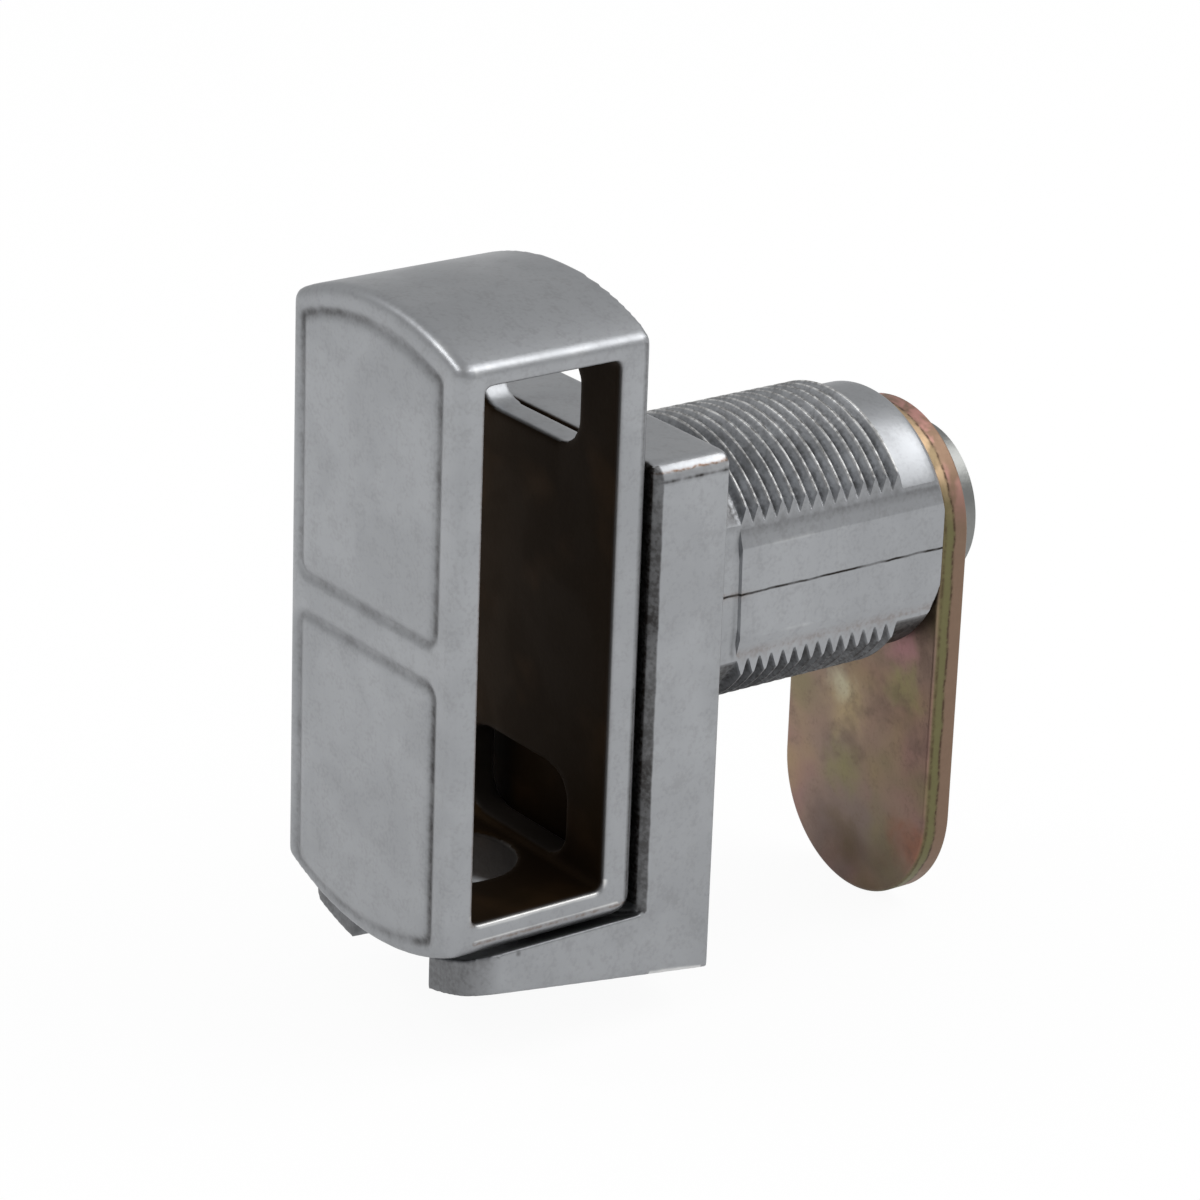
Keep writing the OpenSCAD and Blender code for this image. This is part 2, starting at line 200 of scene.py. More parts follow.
@contextmanager
def editing(piece: Object) -> Iterator[bmesh.types.BMesh]:
    """Opens a piece's mesh for changes and writes them back afterwards.

    Args:
        piece: The piece.

    Returns:
        The open mesh, for a with block.
    """
    work = bmesh.new()
    work.from_mesh(piece.data)
    yield work
    work.to_mesh(piece.data)
    work.free()


def face_outwards(piece: Object) -> None:
    """Turns every face of a closed mesh to the outside."""
    with editing(piece) as work:
        bmesh.ops.recalc_face_normals(work, faces=work.faces)


def loft(name: str, rings: np.ndarray, capped: bool = True) -> Object:
    """Skin over closed rings of points, with a flat end at each side.

    Args:
        name: The object's name.
        rings: Array of rings by points by three.
        capped: Whether the first and last ring are closed. Otherwise they are joined.

    Returns:
        The new object.
    """
    count, around = rings.shape[:2]
    index = np.arange(around)
    ahead = np.roll(index, -1)
    faces = []
    for ring in range(count - 1 if capped else count):
        here, there = ring * around, (ring + 1) % count * around
        faces += np.stack((here + index, here + ahead, there + ahead, there + index), axis=1).tolist()
    if capped:
        faces += [index[::-1].tolist(), (index + (count - 1) * around).tolist()]
    made = make_object(name, rings.reshape(-1, 3), faces)
    face_outwards(made)
    return made


def stacked(name: str, along: Along, outlines: Iterable[tuple[Sequence[Point2], float]]) -> Object:
    """Solid through flat outlines, each with its place; their axes are the other two, in order."""
    return loft(name, np.stack([np.insert(np.array(flat), along.value, place, axis=1) for flat, place in outlines]))


def prism(outline: Sequence[Point2], along: Along, start: float, end: float) -> Object:
    """Solid with a constant outline."""
    return stacked("cutter", along, ((outline, start), (outline, end)))


def bar(along: Along, radius: float, start: float, end: float, centre: Point2 = (0, 0), sides: int = 192,
        end_radius: float | None = None) -> Object:
    """Round bar between two places on an axis, or a cone where the end has a radius of its own."""
    ends = ((radius, start), (end_radius or radius, end))
    return stacked("cutter", along, ((arc(centre, size, 0, 360, sides)[:-1], place) for size, place in ends))


def lathed(name: str, profile: Sequence[Point2], sides: int) -> Object:
    """Closed profile turned about the Y axis.

    Args:
        name: The object's name.
        profile: Radius and place of each point, none of them on the axis.
        sides: Pieces around the axis.

    Returns:
        The new ring-shaped object.
    """
    across, along = np.array(profile).T
    turns = np.linspace(0, 2 * math.pi, sides, endpoint=False)
    rings = [np.stack([across * math.sin(t), along, across * math.cos(t)], axis=1) for t in turns]
    return loft(name, np.stack(rings), capped=False)


def rounded_hull(name: str, balls: Iterable[Sequence[float]]) -> Object:
    """Convex solid with round edges: the skin stretched over a set of balls.

    Args:
        name: The object's name.
        balls: Centre and radius of each ball, as four numbers.

    Returns:
        The new object.
    """
    made = in_scene(name, bpy.data.meshes.new(name))
    with editing(made) as work:
        bmesh.ops.create_uvsphere(work, u_segments=16, v_segments=10, radius=1.0)
        ball = np.array([v.co[:] for v in work.verts])
        work.clear()
        for x, y, z, radius in balls:
            for spot in ball * radius + np.array((x, y, z)):
                work.verts.new(spot / METRE)
        shell = bmesh.ops.convex_hull(work, input=work.verts, use_existing_faces=False)
        loose = {v for v in shell["geom_interior"] + shell["geom_unused"] if isinstance(v, bmesh.types.BMVert)}
        bmesh.ops.delete(work, geom=list(loose), context="VERTS")
    face_outwards(made)
    return made


def bake_modifiers(piece: Object) -> None:
    """Replaces a piece's mesh by what its modifiers make of it.

    Args:
        piece: The piece with the modifiers.
    """
    view = bpy.context.evaluated_depsgraph_get()
    old = piece.data
    piece.data = bpy.data.meshes.new_from_object(piece.evaluated_get(view))
    piece.modifiers.clear()
    bpy.data.meshes.remove(old)


def combine(piece: Object, how: Cut, *others: Object) -> Object:
    """Applies each other solid to the piece in turn and deletes it.

    Args:
        piece: The solid that is changed.
        how: What the others do to it.
        others: The other solids.

    Returns:
        The changed piece.
    """
    for other in others:
        step = piece.modifiers.new("cut", "BOOLEAN")
        step.operation = how.value
        step.solver = "EXACT"
        step.object = other
        bake_modifiers(piece)
        bpy.data.objects.remove(other)
    return piece


def clean_cuts(piece: Object) -> Object:
    """Welds the slivers that cuts leave and splits large faces into sound triangles.

    Args:
        piece: A solid after its cuts.

    Returns:
        The same piece.
    """
    with editing(piece) as work:
        bmesh.ops.remove_doubles(work, verts=work.verts, dist=SLIVER / METRE)
        bmesh.ops.dissolve_degenerate(work, edges=work.edges, dist=SLIVER / METRE)
        bmesh.ops.triangulate(work, faces=[f for f in work.faces if len(f.verts) > 4], ngon_method="BEAUTY")
    return piece


def cast_skin(piece: Object, grain: float, passes: int) -> None:
    """Gives a solid the soft edges of a casting, with one even skin.

    Args:
        piece: The solid, which keeps its place.
        grain: Size of the skin's faces.
        passes: How often the skin is smoothed, which sets the edges' radius.
    """
    skin = piece.modifiers.new("skin", "REMESH")
    skin.mode = "VOXEL"
    skin.voxel_size = grain / METRE
    soft = piece.modifiers.new("soft", "SMOOTH")
    soft.factor = 0.5
    soft.iterations = passes
    bake_modifiers(piece)


def vertex_rows(piece: Object, key: str) -> np.ndarray:
    """Three values for each vertex of a piece, such as its place or its normal.

    Args:
        piece: The piece.
        key: Blender's name for the values.

    Returns:
        Array of vertices by three.
    """
    flat = np.empty(len(piece.data.vertices) * 3, np.float32)
    piece.data.vertices.foreach_get(key, flat)
    return flat.reshape(-1, 3).astype(float)


def places_mm(piece: Object) -> np.ndarray:
    """Every vertex of a piece, in millimetres."""
    return vertex_rows(piece, "co") * METRE


def set_places(piece: Object, places: np.ndarray) -> None:
    """Moves every vertex of a piece to the given places in millimetres."""
    piece.data.vertices.foreach_set("co", (places / METRE).astype(np.float32).ravel())
    piece.data.update()


def write_masks(piece: Object, **masks: np.ndarray) -> None:
    """Stores values from 0 to 1 at every vertex for the shaders, by name.

    Args:
        piece: The piece.
        masks: The values of each mask.
    """
    for name, values in masks.items():
        mask = piece.data.attributes.new(name, "FLOAT", "POINT")
        mask.data.foreach_set("value", np.clip(values * 1.0, 0, 1).astype(np.float32))


def take_mask(piece: Object, name: str) -> np.ndarray:
    """Removes a mask that write_masks stored and returns its values.

    Args:
        piece: The piece.
        name: The mask's name.

    Returns:
        One value for each vertex.
    """
    values = np.empty(len(piece.data.vertices), np.float32)
    mask = piece.data.attributes[name]
    mask.data.foreach_get("value", values)
    piece.data.attributes.remove(mask)
    return values.astype(float)


def refine(piece: Object, chosen: np.ndarray) -> None:
    """Halves every edge between two chosen vertices.

    Args:
        piece: The piece.
        chosen: Whether each vertex is chosen.
    """
    with editing(piece) as work:
        edges = [e for e in work.edges if chosen[e.verts[0].index] and chosen[e.verts[1].index]]
        bmesh.ops.subdivide_edges(work, edges=edges, cuts=1, use_grid_fill=True)


def outer_edges(piece: Object, spread: int = 2) -> np.ndarray:
    """How sharply the piece bends outwards at each vertex.

    Args:
        piece: A piece with a dense, even mesh.
        spread: How many steps the result spreads over the mesh.

    Returns:
        Values of about 0 on flat faces and up to about 1 on sharp outer edges.
    """
    places, normals = places_mm(piece), vertex_rows(piece, "normal")
    edges = np.empty(len(piece.data.edges) * 2, np.int32)
    piece.data.edges.foreach_get("vertices", edges)
    first, second = edges.reshape(-1, 2).T
    step = places[second] - places[first]
    length = np.maximum((step * step).sum(axis=1), TINY)
    bend = np.zeros(len(places))
    np.add.at(bend, first, -(step * normals[first]).sum(axis=1) / length)
    np.add.at(bend, second, (step * normals[second]).sum(axis=1) / length)
    count = np.bincount(edges, minlength=len(places)).astype(float)
    bend /= np.maximum(count, 1)
    for _ in range(spread):
        total = np.zeros(len(places))
        np.add.at(total, first, bend[second])
        np.add.at(total, second, bend[first])
        bend = (bend + total) / (count + 1)
    return bend


def shade(piece: Object, finish: Material, angle: float = CREASE) -> None:
    """Gives a piece its finish and smooth shading up to the given angle.

    Args:
        piece: The piece.
        finish: Its material.
        angle: The angle in degrees.
    """
    piece.data.materials.clear()
    piece.data.materials.append(finish)
    piece.data.polygons.foreach_set("use_smooth", [True] * len(piece.data.polygons))
    piece.data.set_sharp_from_angle(angle=math.radians(angle))


def place(piece: Object, body: str, slot: str, *nodes: str) -> None:
    """Hangs a piece on its body, hides the CAD nodes that it replaces and reports it.

    Args:
        piece: The piece.
        body: The body that it moves with.
        slot: Its material slot in the record; not used.
        nodes: The CAD nodes that it replaces.
    """
    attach(piece, body)
    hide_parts(*nodes)
    LOG.info("%s: %d faces on %s", piece.name, len(piece.data.polygons), body)


@dataclass(frozen=True)
class Cloud:
    """Cloudy mask: the width of its patches and the stretch of the noise that it rises over."""

    size: float
    detail: float
    twist: float
    start: float
    end: float
    least: float = 0.0
    most: float = 1.0


class Graph:
    """Places and joins shader nodes in one tree."""

    def __init__(self, tree: NodeTree) -> None:
        """Keeps the tree that the nodes go into."""
        self.tree = tree

    def add(self, kind: str, **properties: object) -> bpy.types.Node:
        """New node of a kind with some of its properties set.

        Args:
            kind: Blender's name for the kind.
            properties: The properties to set.

        Returns:
            The new node.
        """
        node = self.tree.nodes.new(kind)
        for key, value in properties.items():
            setattr(node, key, value)
        return node

    def feed(self, socket: Socket, value: Value) -> None:
        """Links another socket into this one, or sets it to a constant.

        Args:
            socket: The input.
            value: Another socket or a constant.
        """
        if isinstance(value, bpy.types.NodeSocket):
            self.tree.links.new(value, socket)
        else:
            socket.default_value = value

    def maths(self, operation: str, first: Value, second: Value = 0.0, clamp: bool = False) -> Socket:
        """Result of one calculation on two values.

        Args:
            operation: Blender's name for the calculation.
            first: The first value.
            second: The second value.
            clamp: Whether the result is kept between 0 and 1.

        Returns:
            The result.
        """
        node = self.add("ShaderNodeMath", operation=operation, use_clamp=clamp)
        self.feed(node.inputs[0], first)
        self.feed(node.inputs[1], second)
        return node.outputs[0]

    def times(self, first: Value, second: Value) -> Socket:
        """Product of two values."""
        return self.maths("MULTIPLY", first, second)

    def plus(self, first: Value, second: Value) -> Socket:
        """Sum of two values."""
        return self.maths("ADD", first, second)

    def mix(self, factor: Value, low: Value, high: Value) -> Socket:
        """Mix of two colours.

        Args:
            factor: Share of the second colour.
            low: The first colour.
            high: The second colour.

        Returns:
            The mixed colour.
        """
        node = self.add("ShaderNodeMix", data_type="RGBA")
        for place_in, value in ((0, factor), (6, low), (7, high)):
            self.feed(node.inputs[place_in], value)
        return node.outputs[2]

    def span(self, value: Value, start: float, end: float, low: float = 0.0, high: float = 1.0) -> Socket:
        """Value moved from one range to another, with soft ends.

        Args:
            value: The value.
            start: Start of its own range.
            end: End of its own range.
            low: Result at the start.
            high: Result at the end.

        Returns:
            The result.
        """
        node = self.add("ShaderNodeMapRange", interpolation_type="SMOOTHSTEP")
        for socket, number in zip(node.inputs[:5], (value, start, end, low, high), strict=True):
            self.feed(socket, number)
        return node.outputs[0]

    def noise(self, spot: Value, size: float, detail: float, twist: float = 0.0) -> Socket:
        """Cloudy value from 0 to 1 whose patches are about size millimetres wide.

        Args:
            spot: Coordinates on the piece.
            size: Width of the patches.
            detail: How many finer layers it has.
            twist: How far the patches are bent out of shape.

        Returns:
            The value.
        """
        node = self.add("ShaderNodeTexNoise")
        self.feed(node.inputs["Vector"], spot)
        node.inputs["Scale"].default_value = METRE / size
        node.inputs["Detail"].default_value = detail
        node.inputs["Distortion"].default_value = twist
        return node.outputs["Fac"]

    def cloud(self, spot: Value, cloud: Cloud) -> Socket:
        """Mask that a cloud describes."""
        noise = self.noise(spot, cloud.size, cloud.detail, cloud.twist)
        return self.span(noise, cloud.start, cloud.end, cloud.least, cloud.most)

    def blotch(self, spot: Value, centre: Point3, size: float) -> Socket:
        """Soft uneven blotch round a centre in millimetres, from 1 inside to 0 outside.

        Args:
            spot: Coordinates on the piece.
            centre: The centre.
            size: Radius of the full part, more or less.

        Returns:
            The mask.
        """
        node = self.add("ShaderNodeVectorMath", operation="DISTANCE")
        self.feed(node.inputs[0], spot)
        node.inputs[1].default_value = [value / METRE for value in centre]
        wobble = self.times(self.noise(spot, size * 1.1, 3.0, 0.4), 2.2 * size / METRE)
        away = self.plus(node.outputs["Value"], wobble)
        return self.span(away, 0.9 * size / METRE, 2.4 * size / METRE, 1.0, 0.0)

    def axes(self, spot: Value) -> bpy.types.NodeOutputs:
        """The three coordinates of a place, by axis name.

        Args:
            spot: Coordinates on the piece.

        Returns:
            Outputs named X, Y and Z.
        """
        node = self.add("ShaderNodeSeparateXYZ")
        self.feed(node.inputs[0], spot)
        return node.outputs

    def group(self, tree: NodeTree, **values: Value) -> bpy.types.NodeOutputs:
        """Places a node group and feeds its inputs.

        Args:
            tree: The node group.
            values: What each input gets, by name with _ for a space.

        Returns:
            The outputs of the group.
        """
        node = self.add("ShaderNodeGroup", node_tree=tree)
        for key, value in values.items():
            self.feed(node.inputs[key.replace("_", " ")], value)
        return node.outputs


class Effect:
    """A shader node group with named inputs and outputs."""

    FLOAT = "NodeSocketFloat"
    COLOUR = "NodeSocketColor"
    VECTOR = "NodeSocketVector"

    def __init__(self, name: str, inputs: dict[str, str], outputs: dict[str, str]) -> None:
        """Makes the empty group with its sockets.

        Args:
            name: The group's name.
            inputs: Kind of each input socket by name.
            outputs: Kind of each output socket by name.
        """
        self.tree = bpy.data.node_groups.new(name, "ShaderNodeTree")
        for way, sockets in (("INPUT", inputs), ("OUTPUT", outputs)):
            for key, kind in sockets.items():
                self.tree.interface.new_socket(key, in_out=way, socket_type=kind)
        self.graph = Graph(self.tree)
        self.given = self.graph.add("NodeGroupInput").outputs
        self.result = self.graph.add("NodeGroupOutput").inputs

    @classmethod
    def coat(cls, name: str, over: str, *values: str) -> "Effect":
        """Group that lays one colour over another, with some values besides."""
        inputs = {"Colour": cls.COLOUR, over: cls.COLOUR} | {value: cls.FLOAT for value in values}
        return cls(name, inputs, {"Colour": cls.COLOUR, "Mask": cls.FLOAT})

    def cover(self, mask: Socket, over: str) -> NodeTree:
        """Finishes a coat with the mask that it is laid on by.

        Args:
            mask: Where the upper colour lies.
            over: Name of the input with the upper colour.

        Returns:
            The finished group.
        """
        self.graph.feed(self.result["Colour"], self.graph.mix(mask, self.given["Colour"], self.given[over]))
        self.graph.feed(self.result["Mask"], mask)
        return self.tree


def casting_texture() -> NodeTree:
    """Group for the skin of a casting: broad patches, fine grain and small pits.

    Returns:
        The group.
    """
    effect = Effect(
        "casting_texture",
        {"Place": Effect.VECTOR, "Pit share": Effect.FLOAT},
        {"Patches": Effect.FLOAT, "Grain": Effect.FLOAT, "Pits": Effect.FLOAT},
    )
    graph, spot = effect.graph, effect.given["Place"]
    graph.feed(effect.result["Patches"], graph.cloud(spot, Cloud(6.0, 4.0, 0.6, 0.3, 0.7)))
    fine, coarse = (graph.times(graph.noise(spot, size, detail), 0.5) for size, detail in ((0.3, 2.0), (1.2, 3.0)))
    graph.feed(effect.result["Grain"], graph.plus(fine, coarse))
    cells = graph.add("ShaderNodeTexVoronoi")
    graph.feed(cells.inputs["Vector"], spot)
    cells.inputs["Scale"].default_value = METRE / 3.4
    near = graph.span(cells.outputs["Distance"], 0.02, 0.09, 1.0, 0.0)
    chosen = graph.add("ShaderNodeSeparateColor")
    graph.feed(chosen.inputs[0], cells.outputs["Color"])
    rare = graph.maths("LESS_THAN", chosen.outputs[0], effect.given["Pit share"])
    graph.feed(effect.result["Pits"], graph.times(near, rare))
    return effect.tree


def worn_edge_and_highlight() -> NodeTree:
    """Group that brightens a finish along its outer edges, in uneven strokes: worn bare metal, and painted highlights
    where the edge masks put them.

    Returns:
        The group.
    """
    effect = Effect.coat("worn_edge_and_highlight", "Bare colour", "Edge", "Patches", "Amount")
    graph, given = effect.graph, effect.given
    left = graph.maths("SUBTRACT", given["Edge"], graph.times(given["Patches"], 0.3))
    return effect.cover(graph.times(graph.span(left, 0.1, 0.6), given["Amount"]), "Bare colour")


def settled_dirt_and_shade() -> NodeTree:
    """Group that colours a finish where a mask of dirt, rust and painted shade says so, broken up by the grain.

    Returns:
        The group.
    """
    effect = Effect.coat("settled_dirt_and_shade", "Dirt colour", "Dirt", "Grain", "Break up")
    graph, given = effect.graph, effect.given
    thinned = graph.times(given["Break up"], graph.span(given["Grain"], 0.36, 0.62, -0.8, 0.3))
    return effect.cover(graph.maths("MULTIPLY", given["Dirt"], graph.plus(thinned, 1.0), clamp=True), "Dirt colour")


@dataclass(frozen=True)
class Effects:
    """The node groups that the finishes share."""

    texture: NodeTree
    wear_and_highlight: NodeTree
    dirt_and_shade: NodeTree

    @classmethod
    def build(cls) -> "Effects":
        """Makes each group once."""
        return cls(casting_texture(), worn_edge_and_highlight(), settled_dirt_and_shade())


class Surface:
    """A material under construction: its Principled shader, its coordinates and its skin."""

    def __init__(self, name: str, metallic: float, effects: Effects, pit_share: float) -> None:
        """Starts a material with a bare Principled shader.

        Args:
            name: The material's name.
            metallic: 1 for metal and 0 for anything else.
            effects: The shared node groups.
            pit_share: Share of the skin's cells that hold a pit.
        """
        self.material = bpy.data.materials.new(name)
        self.material.use_nodes = True
        self.effects = effects
        self.graph = Graph(self.material.node_tree)
        self.shader = self.material.node_tree.nodes["Principled BSDF"]
        self.shader.inputs["Metallic"].default_value = metallic
        self.spot = self.graph.add("ShaderNodeTexCoord").outputs["Object"]
        self.skin = self.graph.group(effects.texture, Place=self.spot, Pit_share=pit_share)

    def mask(self, name: str) -> Socket:
        """Value of a mask stored on the piece's mesh."""
        return self.graph.add("ShaderNodeAttribute", attribute_name=name).outputs["Fac"]

    def dirt_and_shade(self, tint: Value, over: Tint, mask: str, break_up: float) -> tuple[Socket, Socket]:
        """Colour with a layer of dirt, rust and painted shade laid over it where a stored mask says so, and where that
        layer lies.

        Args:
            tint: The colour underneath.
            over: The layer's colour.
            mask: The stored mask's name.
            break_up: How much the grain breaks the layer up.

        Returns:
            The colour with the layer on it, and where the layer lies.
        """
        layer = self.graph.group(self.effects.dirt_and_shade, Colour=tint, Dirt_colour=over, Dirt=self.mask(mask),
                                 Grain=self.skin["Grain"], Break_up=break_up)
        return layer["Colour"], layer["Mask"]

    def finish(self, tint: Value, roughness: Value, height: Value, relief: float) -> Material:
        """Feeds the shader and returns the material.

        Args:
            tint: Base colour.
            roughness: Roughness.
            height: Height for the bump, from 0 to 1.
            relief: Depth of that bump in millimetres.

        Returns:
            The finished material.
        """
        bump = self.graph.add("ShaderNodeBump")
        bump.inputs["Strength"].default_value = 1.0
        bump.inputs["Distance"].default_value = relief / METRE
        self.graph.feed(bump.inputs["Height"], height)
        self.graph.feed(self.shader.inputs["Base Color"], tint)
        self.graph.feed(self.shader.inputs["Roughness"], roughness)
        self.graph.feed(self.shader.inputs["Normal"], bump.outputs["Normal"])
        return self.material


@dataclass(frozen=True)
class SatinChrome:
    """Satin chrome plate over a zinc casting, bare and bright at worn edges, with painted highlights on some edges and
    painted shade in hollows and under things.
    """

    name: str = "satin_chrome"
    plate: Tint = colour(162, 164, 167)
    dull: Tint = colour(156, 158, 161)
    speck: Tint = colour(128, 128, 129)
    # Bright colour of worn edges, also used for painted highlights along some edges.
    bare_and_highlight: Tint = colour(226, 226, 225)
    # Dark colour of dirt, also used for painted shade under things and in recesses.
    soot_and_shade: Tint = colour(40, 36, 33)
    rust: Tint = colour(112, 82, 58)
    # Tarnish colours, darkened as painted shade inside the tunnel and behind the handle.
    tarnish_and_shade: Tint = colour(46, 33, 18)
    faint_tarnish_and_shade: Tint = colour(62, 45, 27)
    pit_share: float = 0.02
    wear_and_highlight: float = 0.85
    seam_wander: float = 0.2
    seam_edge: Point2 = (0.03, 0.13)
    relief: float = 0.03

    def seam(self, surface: Surface) -> Socket:
        """Mask of the casting's parting line along the middle of the barrel's flats.

        Args:
            surface: The material under construction.

        Returns:
            The mask.
        """
        graph, spot = surface.graph, surface.spot
        swing = graph.maths("SUBTRACT", graph.noise(spot, 1.6, 3.0), 0.5)
        wander = graph.times(swing, self.seam_wander / METRE)
        away = graph.maths("ABSOLUTE", graph.plus(graph.axes(spot)["Z"], wander))
        line = graph.span(away, *(edge / METRE for edge in self.seam_edge), 1.0, 0.0)
        strength = graph.cloud(spot, Cloud(2.6, 4.0, 0.0, 0.36, 0.6, 0.45))
        return graph.times(graph.times(line, strength), surface.mask("seam"))

    def material(self, effects: Effects) -> Material:
        """Builds the shader.

        Args:
            effects: The shared node groups.

        Returns:
            The finished material.
        """
        surface = Surface(self.name, METAL, effects, self.pit_share)
        graph, skin = surface.graph, surface.skin
        tint = graph.mix(skin["Patches"], self.plate, self.dull)
        tint = graph.mix(graph.span(skin["Grain"], 0.45, 0.7, 0.0, 0.28), tint, self.speck)
        # Worn edges, with painted highlights where the edge mask holds them.
        tint = graph.group(effects.wear_and_highlight, Colour=tint, Bare_colour=self.bare_and_highlight, Edge=surface.mask("edge"),
                           Patches=skin["Patches"], Amount=self.wear_and_highlight)["Colour"]
        tint, _ = surface.dirt_and_shade(tint, self.rust, "rust", 0.8)
        # Grime: dirt, and painted shade under things, in recesses and behind the handle.
        tint, grime_and_shade_mask = surface.dirt_and_shade(tint, self.soot_and_shade, "grime", 0.2)
        tint, _ = surface.dirt_and_shade(tint, self.soot_and_shade, "grit", 1.0)
        tint = graph.mix(self.seam(surface), tint, self.soot_and_shade)
        # Inside the tunnel, the hole and behind the handle: tarnish darkened as painted shade.
        brown = graph.mix(graph.cloud(surface.spot, Cloud(5.0, 2.0, 0.0, 0.5, 0.75)), self.tarnish_and_shade, self.faint_tarnish_and_shade)
        tint = graph.mix(surface.mask("inside"), tint, brown)
        tint = graph.mix(graph.times(skin["Pits"], 0.5), tint, self.soot_and_shade)
        rough = graph.plus(graph.span(skin["Patches"], 0.0, 1.0, 0.38, 0.44), graph.times(grime_and_shade_mask, 0.15))
        rough = graph.plus(rough, graph.times(surface.mask("inside"), 0.3))
        height = graph.maths("SUBTRACT", graph.times(skin["Grain"], 0.5), skin["Pits"])
        return surface.finish(tint, rough, height, self.relief)


@dataclass(frozen=True)
class YellowPassivate:
    """Yellow zinc passivate on a stamped bar, browned, with soft pink, green and gold patches, painted highlights on
    its upper rim and at the top of its face, and painted shade at the bottom.
    """

    name: str = "yellow_passivate"
    ground: Tint = colour(142, 119, 106)
    brown: Tint = colour(82, 64, 54)
    smoke: Tint = colour(104, 86, 78)
    olive: Tint = colour(112, 108, 76)
    shear: Tint = colour(130, 108, 92)
    # Amber and rose are the paler painted-highlight tones for the rim's top.
    amber_highlight: Tint = colour(184, 158, 128)
    rose_highlight: Tint = colour(184, 138, 130)
    moss: Tint = colour(112, 100, 76)
    patches: tuple[tuple[Cloud, Tint], ...] = (
        (Cloud(11.0, 3.0, 0.2, 0.4, 0.62), colour(126, 110, 104)),
        (Cloud(8.0, 3.0, 0.5, 0.45, 0.7, most=0.8), colour(146, 110, 106)),
        (Cloud(6.5, 2.0, 0.1, 0.48, 0.74, most=0.7), colour(126, 118, 86)),
        (Cloud(7.5, 2.0, 0.2, 0.5, 0.76, most=0.8), colour(154, 134, 100)),
    )
    face_y: float = 20.7  # place of the bar's front face
    # Blotches on that face: place across, place up, size and colour. The two pale ones at the top are a painted
    # highlight, and the large dark one at the bottom is painted shade.
    blotches_and_painted_light: tuple[tuple[float, float, float, Tint], ...] = (
        (-1.0, -15.2, 2.6, colour(184, 164, 124)), (-1.9, -13.8, 1.5, colour(196, 190, 164)),
        (4.3, -8.8, 2.4, colour(184, 132, 140)), (5.0, -11.9, 2.0, colour(142, 142, 92)),
        (-1.3, -20.0, 2.4, colour(132, 128, 86)), (6.6, -23.6, 2.4, colour(138, 92, 72)),
        (-0.6, -25.6, 2.6, colour(102, 88, 62)), (1.6, -31.0, 8.2, colour(62, 46, 41)),
    )
    blotch_strength: float = 0.75
    smoking: Cloud = Cloud(2.4, 5.0, 0.2, 0.46, 0.72, most=0.45)
    mossing: Cloud = Cloud(2.2, 3.0, 0.4, 0.42, 0.62, most=0.75)
    pit_share: float = 0.1
    relief: float = 0.012

    def rim(self, surface: Surface) -> Socket:
        """Colour of the sheared rim, with a darker band in front and paler towards the top as a painted highlight.

        Args:
            surface: The material under construction.

        Returns:
            The colour.
        """
        graph, band = surface.graph, surface.mask("band")
        low = graph.mix(band, self.olive, self.shear)
        # Painted highlight: paler tones on the rim's top.
        high = graph.mix(band, self.amber_highlight, self.rose_highlight)
        high = graph.mix(graph.cloud(surface.spot, self.mossing), high, self.moss)
        return graph.mix(surface.mask("crown"), low, high)

    def material(self, effects: Effects) -> Material:
        """Builds the shader.

        Args:
            effects: The shared node groups.

        Returns:
            The finished material.
        """
        surface = Surface(self.name, METAL, effects, self.pit_share)
        graph, spot, skin = surface.graph, surface.spot, surface.skin
        tint = self.ground
        for cloud, patch in self.patches:
            tint = graph.mix(graph.cloud(spot, cloud), tint, patch)
        for across, up, size, blotch in self.blotches_and_painted_light:
            strength = graph.times(graph.blotch(spot, (across, self.face_y, up), size), self.blotch_strength)
            tint = graph.mix(strength, tint, blotch)
        tint = graph.mix(graph.cloud(spot, self.smoking), tint, self.smoke)
        tint = graph.mix(graph.span(skin["Grain"], 0.5, 0.72, 0.0, 0.3), tint, self.smoke)
        tint = graph.mix(surface.mask("rim"), tint, self.rim(surface))
        tint, _ = surface.dirt_and_shade(tint, self.brown, "grime", 0.9)
        tint = graph.mix(graph.times(skin["Pits"], 0.7), tint, self.brown)
        rough = graph.plus(graph.span(skin["Grain"], 0.2, 0.8, 0.36, 0.44), graph.times(surface.mask("rim"), 0.1))
        return surface.finish(tint, rough, skin["Grain"], self.relief)


@dataclass(frozen=True)
class PlainFinish:
    """One even finish with a fine grain, for the small hardware."""

    name: str
    tint: Tint
    shadow: Tint
    metallic: float
    roughness: float
    pit_share: float = 0.02
    relief: float = 0.02

    def material(self, effects: Effects) -> Material:
        """Builds the shader.

        Args:
            effects: The shared node groups.

        Returns:
            The finished material.
        """
        surface = Surface(self.name, self.metallic, effects, self.pit_share)
        graph, skin = surface.graph, surface.skin
        tint = graph.mix(graph.times(skin["Grain"], 0.5), self.tint, self.shadow)
        rough = graph.span(skin["Patches"], 0.0, 1.0, self.roughness, self.roughness + 0.08)
        return surface.finish(tint, rough, skin["Grain"], self.relief)


